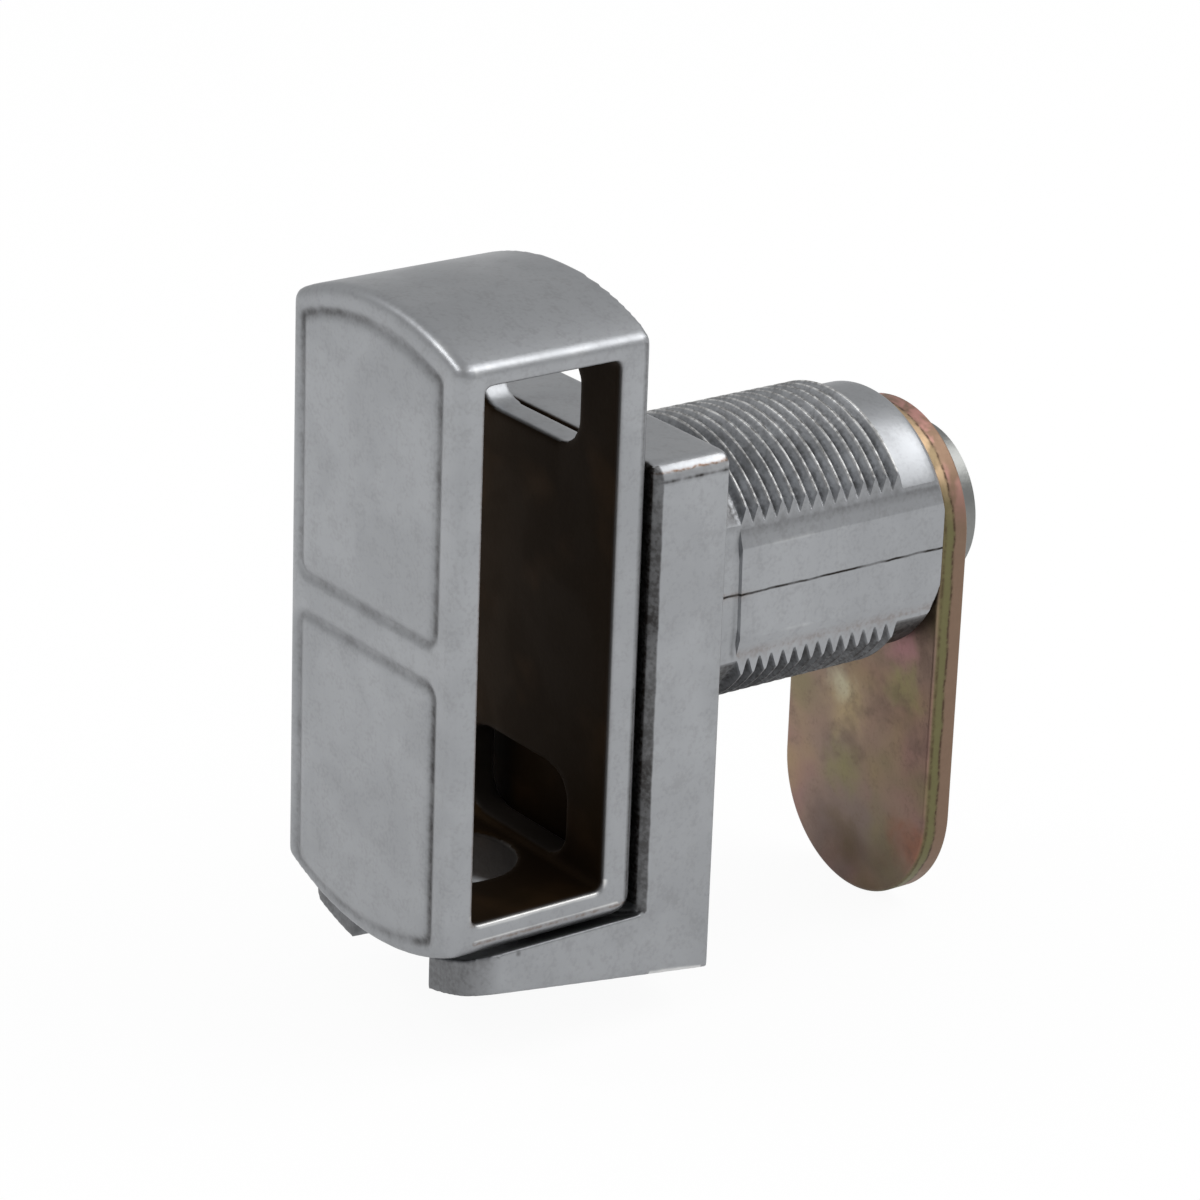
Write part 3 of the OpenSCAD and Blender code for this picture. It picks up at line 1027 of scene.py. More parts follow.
@dataclass
class Handle:
    """Loop handle with two framed pads, and the spindle behind it."""

    finish: Material
    washer_play: float = 0.05
    front_wall: float = 2.0
    back_wall: float = 2.3
    edge_r: float = 0.85
    rear_r: float = 0.15
    side_r: float = 0.4
    sill_r: float = 1.3
    window: Point2 = (-18.25, 18.9)
    tunnel_r: float = 0.15
    slot_half: float = 5.8
    slot_rows: tuple[Point2, Point2] = ((11.5, 17.9), (-17.9, -11.5))
    slot_r: float = 2.2
    hole_r: float = 4.2
    left_shift: float = 0.5  # of the slots and the pads
    pad_drop: float = 0.45
    pad_margin: float = 1.7
    pad_arch_margin: float = 1.3
    pad_band: float = 2.4
    pad_r: float = 1.2
    pad_tip: float = 0.5
    groove_w: float = 0.42
    groove_depth: float = 0.2
    fine_reach: float = 0.6  # how far from a pad's outline the skin is finer
    side_depth: float = 0.25  # how far in a vertex still counts as on the side
    dark_margin: float = 0.3  # how far the tunnel's tarnish and painted shade reach past its faces
    skin_grain: float = 0.235
    skin_passes: int = 4
    spindle_r: float = 5.5
    spindle_core: float = 0.5
    square_half: float = 3.5
    square_r: float = 0.2
    ball_hole: Point3 = (1.6, 9.0, 2.0)  # radius, place and floor
    screw_hole: Point2 = (3.05, 13.5)  # radius and floor

    def __post_init__(self) -> None:
        """Reads the overall sizes from the frame."""
        low, high = box_mm("handle")
        self.half_w, self.radius, self.front = high[0] - SKIN, high[2] - SKIN, low[1] + SKIN
        self.square_end = high[1]
        self.back = box_mm("thrust_washer")[0][1] - self.washer_play
        self.tunnel = (self.front + self.front_wall, self.back - self.back_wall)
        self.corner_z = math.sqrt(self.radius ** 2 - self.half_w ** 2) - self.edge_r

    def rim(self, inset: float) -> list[Point3]:
        """Small balls along the loop's upper outline, larger where they round its upright edges.

        Args:
            inset: How far the arch is drawn in, for the rounded sill.

        Returns:
            Place across, place up and radius, from the right side over the arch to the left one.
        """
        radius, corner = self.radius - inset, self.edge_r
        x, z = self.half_w - corner, math.sqrt((radius - corner) ** 2 - (self.half_w - corner) ** 2)
        bend = [(px, pz, self.side_r) for px, pz in
                arc((x, z), corner - self.side_r, 0, math.degrees(math.atan2(z, x)), 5)]
        reach = (radius - self.rear_r) / (radius - corner) * x
        arch = [(px, math.sqrt((radius - self.rear_r) ** 2 - px * px), self.rear_r)
                for px in np.linspace(reach, -reach, 23)[1:-1]]
        return bend + arch + [(-px, pz, ball) for px, pz, ball in bend[::-1]]

    def blank(self) -> Object:
        """Solid of the loop with its round rims, before anything is cut.

        Returns:
            The solid.
        """
        front, rear = self.edge_r, self.rear_r
        balls = []
        for x in np.linspace(-1, 1, 25) * (self.half_w - front):
            z = math.sqrt((self.radius - front) ** 2 - x * x)
            balls += [(x, self.front + front, up, front) for up in (z, -z)]
        balls += [(x, self.back - ball, z, ball) for x, z, ball in self.rim(0)]
        for turn in np.radians(np.linspace(0, 90, 7)):
            y = self.back - self.sill_r + (self.sill_r - rear) * math.sin(turn)
            inset = (self.sill_r - rear) * (1 - math.cos(turn))
            balls += [(x, min(y, self.back - ball), -z, ball) for x, z, ball in self.rim(inset)]
        return rounded_hull("handle_loop", balls)

    def openings(self) -> list[Object]:
        """Cutters for the tunnel, the two slots and the hole for the shackle.

        Returns:
            One cutter for each opening.
        """
        (front, back), (low, high) = self.tunnel, self.window
        left, right = -self.slot_half - self.left_shift, self.slot_half - self.left_shift
        tunnel = round_rect((front, low), (back, high), self.tunnel_r)
        slots = [round_rect((left, bottom), (right, top), self.slot_r) for bottom, top in self.slot_rows]
        return [prism(tunnel, Along.X, -self.half_w - PAST, self.half_w + PAST),
                *(prism(slot, Along.Y, back - PAST, self.back + PAST) for slot in slots),
                bar(Along.Z, self.hole_r, -self.radius - PAST, PAST + low, (0, (front + back) / 2), 96)]

    def pad_field(self, places: np.ndarray) -> np.ndarray:
        """Distance from each place to the outline of the nearer pad, negative inside it.

        Args:
            places: The places in millimetres.

        Returns:
            One distance for each place.
        """
        x, z = places[:, 0] + self.left_shift, places[:, 2] + self.pad_drop
        across = np.abs(x) - (self.half_w - self.pad_margin - self.pad_r)
        up = self.pad_band / 2 + self.pad_r - np.abs(z)
        corner = np.hypot(np.maximum(across, 0), np.maximum(up, 0))
        frame_edge = corner + np.minimum(np.maximum(across, up), 0) - self.pad_r
        arch_edge = np.hypot(x, z) - (self.radius - self.pad_arch_margin)
        return smooth_max(frame_edge, arch_edge, self.pad_tip)

    def press_pads(self, loop: Object) -> np.ndarray:
        """Sinks the soft groove round each pad, in a finer skin, and returns the groove's mask.

        Args:
            loop: The loop with its cast skin.

        Returns:
            The mask.
        """
        places = places_mm(loop)
        x, y, z = places.T
        near = (y < self.front + ON_FACE) & (np.abs(self.pad_field(places)) < self.fine_reach)
        near |= (np.abs(x) > self.half_w - 0.5) & (y > self.back - self.side_r - 0.25) & (np.abs(z) < self.radius - 2)
        refine(loop, near)
        places = places_mm(loop)
        away = (self.pad_field(places) + self.groove_w / 2) / self.groove_w
        groove = np.exp(-away * away) * (places[:, 1] < self.front + ON_FACE)
        places[:, 1] += self.groove_depth * groove
        set_places(loop, places)
        return groove

    def wear_and_highlight(self, places: np.ndarray, bend: np.ndarray) -> np.ndarray:
        """Mask of the bright edges, worn metal with painted highlights: strong on the arched ends and towards the
        right of the front, faint beside the tunnel and behind, with a painted highlight line along the lower rim of
        each side.

        Args:
            places: Every vertex of the loop, in millimetres.
            bend: How sharply the loop bends outwards at each vertex.

        Returns:
            The mask.
        """
        x, y, z = places.T
        (front, back), (low, high) = self.tunnel, self.window
        beside = (y > front - 0.6) & (y < back + 0.6) & (z > low + 0.8) & (z < high + 0.8)
        arched = 0.15 + 0.85 * ramp(np.abs(z) - self.radius + 2.6, 1.2)
        worn = bend * np.where(beside, 0.05, 1.0)
        # Painted highlight: the front edges are brighter towards the arched ends and towards +X.
        worn *= np.where(y < self.front + 1.0, arched * np.clip(0.5 + x / 12, 0.1, 1.0), 1.0)
        worn *= np.where(y > self.back - 0.6, 0.1, 1.0)
        # Painted highlight line along the lower rim of each side.
        lip_highlight = ridge(z + self.corner_z, 0.1) * (y > front) * (y < self.back - 1)
        lip_highlight *= np.abs(x) > self.half_w - self.side_depth
        return np.maximum(worn, lip_highlight * 0.7)

    def grime(self, places: np.ndarray, groove: np.ndarray) -> np.ndarray:
        """Mask of the dirt in the pads' grooves, and of a painted dark reflection along the upright rear edges.

        Args:
            places: Every vertex of the loop, in millimetres.
            groove: Mask of the grooves.

        Returns:
            The mask.
        """
        x, y, z = places.T
        fading = 0.3 + 0.12 * uneven(x + z, 1.0)
        fading += 0.3 * ramp(z - 14, 3) * ramp(0.2 - x / 6)
        fading += ramp(x - 5, 2) * (0.25 + 0.2 * ramp(-z, 4))
        rear = self.back - self.side_r
        upright = (np.abs(x) > self.half_w - self.side_depth) & (np.abs(z) < self.corner_z + 0.5)
        # Painted dark reflection along the rear of each side, stronger low down.
        rear_rim_reflection, rear_line_reflection = ramp(y - rear + 0.15, 0.15) * upright, ridge(y - rear, 0.09) * upright
        return strongest(ramp(groove * 1.6 - 0.6) * fading, groove * 0.2, rear_rim_reflection * 0.25,
                         rear_line_reflection * (0.5 + 0.35 * (z < -4)))

    def rust(self, places: np.ndarray) -> np.ndarray:
        """Mask of the rust round the window and under the lip of the floor.

        Args:
            places: Every vertex of the loop, in millimetres.

        Returns:
            The mask.
        """
        x, y, z = places.T
        front, (low, high) = self.tunnel[0], self.window
        side = np.abs(x) > self.half_w - self.side_depth
        under_lip = ridge(z + self.corner_z + 0.22, 0.1) * side * (y > front)
        window_rim = (np.abs(y - front) < ON_FACE) & side & (z < high - 1.5) & (z > low)
        return np.maximum(window_rim * 0.35, under_lip * 0.5)

    def inside(self, places: np.ndarray) -> np.ndarray:
        """Mask of the tarnished faces, darkened as painted shade: the tunnel's, the shackle hole's and the lower
        slot's.

        Args:
            places: Every vertex of the loop, in millimetres.

        Returns:
            The mask.
        """
        x, y, z = places.T
        (front, back), (low, high) = self.tunnel, self.window
        deep = np.minimum.reduce([y - front, back - y, high - z, z - low]) + self.dark_margin
        tunnel = ramp(np.minimum(deep, (self.half_w - np.abs(x)) / 2), ON_FACE)
        under_skin = ramp(self.radius - np.hypot(x, z) - 0.4, 0.5)
        hole = (z < low) & (np.hypot(x, y - (front + back) / 2) < self.hole_r + 0.1)
        slot = (z < -5) & (y > back - ON_FACE) & (y < self.back - 0.1)
        slot &= (np.abs(x) < self.slot_half + 1) & (under_skin > 0.9)
        return strongest(tunnel, hole * under_skin * 0.82, slot * 0.9)

    def loop(self) -> Object:
        """Loop with its openings, pads and masks.

        Returns:
            The loop.
        """
        loop = combine(self.blank(), Cut.TAKE, *self.openings())
        cast_skin(loop, self.skin_grain, self.skin_passes)
        write_masks(loop, bend=outer_edges(loop))
        groove = self.press_pads(loop)
        bend, places = take_mask(loop, "bend"), places_mm(loop)
        write_masks(loop, edge=self.wear_and_highlight(places, bend), grime=self.grime(places, groove), rust=self.rust(places),
                    inside=self.inside(places))
        return loop

    def spindle(self) -> Object:
        """Spindle from the loop's back wall to its square end, with its holes.

        Returns:
            The spindle.
        """
        low, high = (corner[1] for corner in box_mm("seal_ring"))
        shoulder = box_mm("stop_washer")[0][1]
        core, full = self.spindle_core, self.spindle_r
        groove_r, start = full - (high - low), self.back - self.back_wall / 2
        profile = [(core, start), (full, start), (full, low), (groove_r, low), (groove_r, high), (full, high),
                   (full, shoulder), (core, shoulder)]
        spindle = lathed("handle_spindle", profile, 160)
        square = centred_rect(self.square_half, self.square_half, self.square_r)
        combine(spindle, Cut.JOIN, prism(square, Along.Y, shoulder - PAST / 2, self.square_end))
        ball_r, ball_y, floor = self.ball_hole
        screw_r, screw_y = self.screw_hole
        return clean_cuts(combine(spindle, Cut.TAKE,
                                  bar(Along.Z, ball_r, -full - PAST, floor, (0, ball_y), 48),
                                  bar(Along.Y, screw_r, screw_y, self.square_end + PAST, sides=96)))

    def build(self) -> None:
        """Makes the loop and its spindle."""
        for piece, crease in ((self.loop(), CAST_CREASE), (self.spindle(), CREASE)):
            shade(piece, self.finish, crease)
            place(piece, "rotor", "chromed_zinc", "handle")


@dataclass
class Housing:
    """Casting with the base plate, the foot's two ears and the threaded barrel."""

    finish: Material
    base_t: float = 6.0
    base_top: float = 11.3
    chamfer: float = 0.55
    bevel: float = 1.1
    edge_r: float = 0.1
    rear_edge_r: float = 0.08
    arch_edge_r: float = 0.14
    foot_t: float = 2.45
    foot_gap: float = 0.45
    foot_z: float = -20.0
    ear_half_gap: float = 4.6
    ear_r: float = 2.0
    shackle_y: float = -14.05
    bore_r: float = 5.55
    washer_r: float = 8.7
    washer_seat: float = 0.6
    skin_grain: float = 0.195
    skin_passes: int = 3
    thread_r: float = 10.0
    thread_depth: float = 0.62
    thread_crease: float = 26.0
    pitch: float = 1.0
    turns: int = 14
    # Rows of the skin in each turn of the thread, as shares of the pitch, and behind the thread.
    phases: tuple[float, ...] = (0.0, 0.05, 0.11, 0.19, 0.31, 0.39, 0.44, 0.5, 0.56, 0.61, 0.69, 0.81, 0.89, 0.95)
    run_out: tuple[float, ...] = (0.0, 0.1, 0.25, 0.5, 0.75, 1.0, 1.5, 2.0, 2.5)
    # The flank, in half pitches from the crest, and how much of it follows a soft curve.
    flank_end: float = 0.88
    flank_w: float = 0.79
    flank_soft: float = 0.4
    helix_lead: Point2 = (2.0, 2.2)  # how far before and behind the thread the rows still follow it
    join: Point2 = (239.0, 301.0)  # turn on the hidden flat where the helix goes back to its start
    neck_len: float = 2.7
    end_chamfer: float = 0.6
    flat_half: float = 8.0
    rib_h: float = 0.35
    rib_half: float = 3.25
    rib_slope: float = 1.25
    neck_rib_half: float = 2.4
    neck_rib_h: float = 0.15
    bend: float = 0.04  # how near a column of the skin lies to a bend
    row_gap: float = 0.12  # the same for a row
    stop_r: float = 7.0
    stop_floor: float = 18.8
    stop_turn: Point2 = (-25.0, 115.0)
    detent_r: float = 1.6
    detent_away: float = 4.35
    detent_start: float = 6.0

    def __post_init__(self) -> None:
        """Reads the overall sizes from the frame."""
        low, high = box_mm("housing")
        self.half_w, self.front, self.barrel_end = high[0] - SKIN, low[1] + SKIN, high[1]
        self.rear_r = -low[2]
        self.foot_top = box_mm("handle")[1][2] + self.foot_gap
        self.foot_front_r = self.foot_top + self.foot_t
        self.root_r = self.thread_r - self.thread_depth
        self.thread_end = self.neck_len + self.turns * self.pitch

    def plate(self) -> Object:
        """Upright plate with round top corners, and upright chamfers at the front.

        Returns:
            The plate.
        """
        outline = [(self.half_w, -self.rear_r)]
        outline += [(self.half_w - aside, self.base_top - down) for aside, down in quarter_round(self.bevel, 6)]
        levels = ((-self.rear_edge_r, self.half_w, self.rear_edge_r),
                  (self.chamfer - self.base_t, self.half_w, self.edge_r),
                  (self.edge_r - self.base_t, self.half_w - self.chamfer, self.edge_r))
        return rounded_hull("housing_base", [(side * (min(x, widest) - radius), y, z - radius, radius)
                                             for side in (-1, 1) for x, z in outline for y, widest, radius in levels])

    def base(self) -> Object:
        """Plate and foot as one casting, with the arched faces and the gap between the ears.

        Returns:
            The casting, before it gets its skin.
        """
        outline = round_rect((-self.half_w, self.front), (self.half_w, -self.base_t / 2), self.ear_r)
        foot = prism(outline, Along.Z, -self.rear_r, -self.rear_r / 2)
        combine(foot, Cut.TAKE, bar(Along.Y, self.foot_top, self.front - PAST, 0))
        base = combine(self.plate(), Cut.JOIN, foot)
        combine(base, Cut.KEEP, bar(Along.Y, self.foot_front_r, self.front, 0.0, end_radius=self.rear_r))
        half, start = self.ear_half_gap, -self.base_t - PAST
        gap = arc((0, self.shackle_y), half, 0, 180, 32)
        gap += [(-half, self.front - PAST), (half, self.front - PAST)]
        return combine(base, Cut.TAKE,
                       prism(gap, Along.Z, -self.rear_r - PAST, (self.foot_gap - self.foot_top) / 2),
                       bar(Along.Y, self.bore_r, start, PAST),
                       bar(Along.Y, self.washer_r, start, self.washer_seat - self.base_t))

    def columns(self, radius: np.ndarray, full: np.ndarray) -> tuple[np.ndarray, np.ndarray]:
        """Outline of the barrel's section for each row, with the ribbed flats cut in.

        Args:
            radius: Radius of the round part for each row.
            full: Share of the rib's full width and height for each row.

        Returns:
            Places across and up, as arrays of rows by columns, starting at the top and going round by +X.
        """
        near = self.bend
        half = self.neck_rib_half + (self.rib_half - self.neck_rib_half) * full
        rise = self.neck_rib_h + (self.rib_h - self.neck_rib_h) * full
        slope = half + self.rib_slope
        cut_z = np.sqrt(np.maximum(radius * radius - self.flat_half * self.flat_half, 0))
        cut_z = np.maximum(cut_z, slope + self.row_gap)
        turns = np.arccos(cut_z / radius)[:, None] * np.linspace(0, 1, 25)
        across, up = [radius[:, None] * np.sin(turns)], [radius[:, None] * np.cos(turns)]
        steps = [((cut_z + slope) / 2, 0.0), (slope + near, 0.0), (slope - near, 0.03),
                 (slope - self.rib_slope / 2, 0.5), (half + near, 0.97)]
        steps += [((half - near) * share, 1.0) for share in np.linspace(1, 0, 9)]
        for z, share in steps:
            flat = np.minimum(self.flat_half + share * rise, np.sqrt(radius * radius - z * z))
            across.append(flat[:, None])
            up.append(z[:, None])
        quarter_x, quarter_z = np.hstack(across), np.hstack(up)
        half_x = np.hstack([quarter_x, quarter_x[:, -2::-1]])
        half_z = np.hstack([quarter_z, -quarter_z[:, -2::-1]])
        return np.hstack([half_x, -half_x[:, 1:-1]]), np.hstack([half_z, -half_z[:, 1:-1]])

    def rows(self) -> tuple[np.ndarray, np.ndarray, np.ndarray]:
        """Places along the axis, radius and share of the helix for each row of the barrel's skin.

        Returns:
            Three arrays with one value for each row.
        """
        gap, end, chamfer = self.row_gap, self.barrel_end, self.barrel_end - self.end_chamfer
        turned = self.neck_len + (np.arange(self.turns)[:, None] + np.array(self.phases)) * self.pitch
        along = np.concatenate([
            np.linspace(-PAST, self.neck_len - gap, 16), turned.ravel(), self.thread_end + np.array(self.run_out),
            np.linspace(chamfer - gap, chamfer + gap, 4), np.linspace(end - 0.4, end, 5),
        ])
        inside = np.clip(along, self.neck_len, self.thread_end)
        away = 2 * np.abs(np.mod((inside - self.neck_len) / self.pitch, 1.0) - 0.5)
        flank = ramp(self.flank_end - away, self.flank_w)
        flank = (1 - self.flank_soft) * flank + self.flank_soft * flank * flank * (3 - 2 * flank)
        radius = self.root_r + self.thread_depth * flank
        radius = -smooth_max(-radius, along - chamfer - self.root_r, 0.2)
        before, behind = self.helix_lead
        follow = ramp(along - self.neck_len + before, before) * ramp(self.thread_end + behind - along, before)
        return along, radius, follow

    def barrel(self) -> Object:
        """Barrel whose thread rows follow a helix, with its stop recess and detent grooves.

        Returns:
            The barrel.
        """
        along, radius, follow = self.rows()
        across, up = self.columns(radius, ramp(along - self.neck_len + self.row_gap + 0.01, self.row_gap))
        start, end = self.join
        turn = np.degrees(np.arctan2(across, up)) % 360
        turn = np.where(turn > end, turn - 360, turn)
        back = start - (turn - start) * ((360 - end + start) / (end - start))
        lead = np.where(turn > start, back, turn) / 360 * self.pitch
        outer = np.stack([across, along[:, None] + follow[:, None] * lead, up], axis=2)
        outer[-1, :, 1] = self.barrel_end
        inner = outer[[-1, 0]].copy()
        heading = np.arctan2(inner[:, :, 0], inner[:, :, 2])
        inner[:, :, 0], inner[:, :, 2] = self.bore_r * np.sin(heading), self.bore_r * np.cos(heading)
        barrel = loft("housing_barrel", np.concatenate([outer, inner]), capped=False)
        fan = [(0.0, 0.0)] + [(self.stop_r * math.sin(t), self.stop_r * math.cos(t))
                              for t in np.radians(np.linspace(*self.stop_turn, 33))]
        grooves = [bar(Along.Y, self.detent_r, self.detent_start, self.barrel_end + PAST, centre, 48)
                   for centre in ((0, -self.detent_away), (-self.detent_away, 0))]
        return clean_cuts(combine(barrel, Cut.TAKE, prism(fan, Along.Y, self.stop_floor, self.barrel_end + PAST),
                                  *grooves))

    def true_rear_edge(self, base: Object) -> None:
        """Trues up the arched lower edge of the rear face, where it meets the door.

        Args:
            base: The base with its cast skin.
        """
        places, edge = places_mm(base), self.arch_edge_r
        x, y, z = places.T
        away = np.hypot(x, z)
        reach = self.rear_r - SKIN + (self.rear_r - self.foot_front_r) * y / -self.front
        near = (z < self.foot_z) & (y > -0.6) & (away > reach - 0.6) & (np.abs(x) < self.half_w - 0.35)
        out, up = away - (reach - edge), y + edge
        length = np.maximum(np.hypot(out, up), TINY)
        corner = near & (out > 0) & (up > 0)
        new_away = np.where(corner, reach - edge + out / length * edge, np.where(near & (out > 0), reach, away))
        y = np.where(corner, up / length * edge - edge, np.where(near & (up > 0) & (out <= 0), 0.0, y))
        grow = new_away / np.maximum(away, TINY)
        set_places(base, np.stack([x * grow, y, z * grow], axis=1))

    def base_masks(self, base: Object) -> None:
        """Masks of wear with a painted highlight on the top bevel, of painted shade behind the handle and in the bore,
        of a painted dark reflection in the front chamfer, of darker marks on the foot, and of rust.

        Args:
            base: The base.
        """
        x, y, z = places_mm(base).T
        wide, front, top, swing = np.abs(x), -self.base_t, self.base_top, uneven(y * 2, 2.0)
        # Painted shade on the face behind the handle.
        shade_behind_loop = (np.abs(y - front) < 0.12) & (z > self.foot_z) & (wide < self.half_w - self.chamfer)
        # Painted dark reflection in the front chamfer.
        chamfer = ramp(self.chamfer + front + 0.05 + 0.03 * uneven(z, 0.7) - y, 0.1)
        chamfer *= (wide > self.half_w - self.chamfer - 0.1) & (y > front - 0.2) & (z > self.foot_z - 0.5)
        # Darker on the upward faces of the foot.
        seat = (y < front) & (vertex_rows(base, "normal")[:, 2] > 0.3)
        # Painted shade in the bore.
        inner = (np.hypot(x, z) < self.washer_r + 0.3) & (y < -0.4)
        # Darker towards the ears' front ends.
        ear = ramp(self.front + self.ear_r - y, self.ear_r) * (z < self.foot_z)
        # Painted highlight on the rounded top bevel.
        bevel = (z > top - self.bevel) & (z < top - 0.2) & (wide > self.half_w - self.bevel)
        quiet = (y < self.chamfer + front + 0.45) | (ear > 0) | (y > -0.6)
        worn = outer_edges(base) * np.where(quiet, 0.15, 1.0)
        # A dark line under the bevel, and a rust line along it.
        bevel_line = ridge(z - top + self.bevel + 0.03, 0.12) * (wide > self.half_w - 0.1)
        rust_line = ridge(z - (top - 0.5 * self.bevel + 0.05 * swing), 0.07) * (wide > self.half_w - self.bevel)
        write_masks(
            base,
            edge=np.maximum(worn, bevel * (chamfer < 0.2) * 0.22),
            grime=strongest(shade_behind_loop * 0.95 * (wide > self.half_w - 3), seat * 0.35, inner * 0.8, ear * 0.5,
                            chamfer * (0.74 + 0.14 * uneven(z * 0.35, 0.5)), bevel_line * ramp(0.6 + 0.4 * swing)),
            inside=shade_behind_loop * (wide < self.half_w - 2.5),
            rust=np.maximum(rust_line * 0.8, shade_behind_loop * (z > 8) * 0.3),
        )

    def barrel_masks(self, barrel: Object) -> None:
        """Masks of worn crests, less bright underneath as a painted highlight on the upper ones, of dirt in the
        thread's valleys, of painted shade underneath, in the bore and on the neck, and of painted shade and highlight
        lines on the flats.

        Args:
            barrel: The barrel.
        """
        x, y, z = places_mm(barrel).T
        radius, slope = np.hypot(x, z), self.rib_half + self.rib_slope
        past_neck = y > self.neck_len
        on_round = np.abs(x) < self.flat_half - 0.02
        threaded = (y > self.neck_len - 0.4) & (y < self.thread_end + 0.6) & on_round
        height = (radius - self.root_r) / self.thread_depth
        crest = ramp(height - 0.8, 0.15) * threaded * (y > self.neck_len + 0.2)
        valley = ramp(0.9 - height) * threaded * (radius > self.root_r - 0.1)
        # Painted shade on the underside.
        under = ramp(-z - 3.0, 3.0) * on_round
        flat = np.abs(x) > self.flat_half - 0.1
        # Painted highlight line at the rib's edge, and painted shade line at the top of its slope.
        rib_highlight_line = ridge(np.abs(z) - self.rib_half, 0.12) * flat * past_neck
        upper_shade_line = ridge(z - slope, 0.1) * flat * past_neck
        # Darker at the neck's step, on the ledge and on the slope band.
        step = ridge(y - self.neck_len + 0.05, 0.1) * flat * (np.abs(z) < slope)
        ledge = ramp(z - slope, 0.2) * flat
        band = ramp(slope - z, 0.1) * flat * (z > self.rib_half) * past_neck
        # Painted shade in the bore and on the neck.
        bore = (radius < self.stop_r + 0.1) | (y < 0)
        neck = on_round * (y < self.neck_len)
        near_neck = ramp(1.2 - y / 4) * ridge(z, 0.2) * ~on_round
        write_masks(
            barrel,
            # Crests are less bright underneath: a painted highlight on the upper ones.
            edge=np.maximum(crest * (0.85 - 0.7 * under), rib_highlight_line * 0.3),
            grime=strongest(under * 0.5, under * (y > self.thread_end) * 0.9, ledge * 0.22, upper_shade_line * 0.45,
                            band * 0.1, step * 0.35, bore * 0.6, neck * 0.55),
            grit=np.maximum(valley * 0.5, crest * 0.55) * ramp(self.thread_end - y, 0.6),
            rust=np.maximum(ridge(z + slope, 0.1) * flat * 0.25, near_neck * 0.6),
            seam=~on_round & (y > 0),
        )

    def build(self) -> None:
        """Makes the base and the barrel."""
        base = self.base()
        cast_skin(base, self.skin_grain, self.skin_passes)
        self.true_rear_edge(base)
        x, y, z = places_mm(base).T
        refine(base, (np.abs(x) > self.half_w - 1.2) & (y < -0.5) & (z > self.foot_z - 0.5)
               & ((y < self.chamfer - self.base_t + 0.25) | (z > self.base_top - self.bevel - 0.3)))
        self.base_masks(base)
        barrel = self.barrel()
        self.barrel_masks(barrel)
        for piece, crease in ((base, CAST_CREASE), (barrel, self.thread_crease)):
            shade(piece, self.finish, crease)
            place(piece, "fixed", "chromed_zinc", "housing")


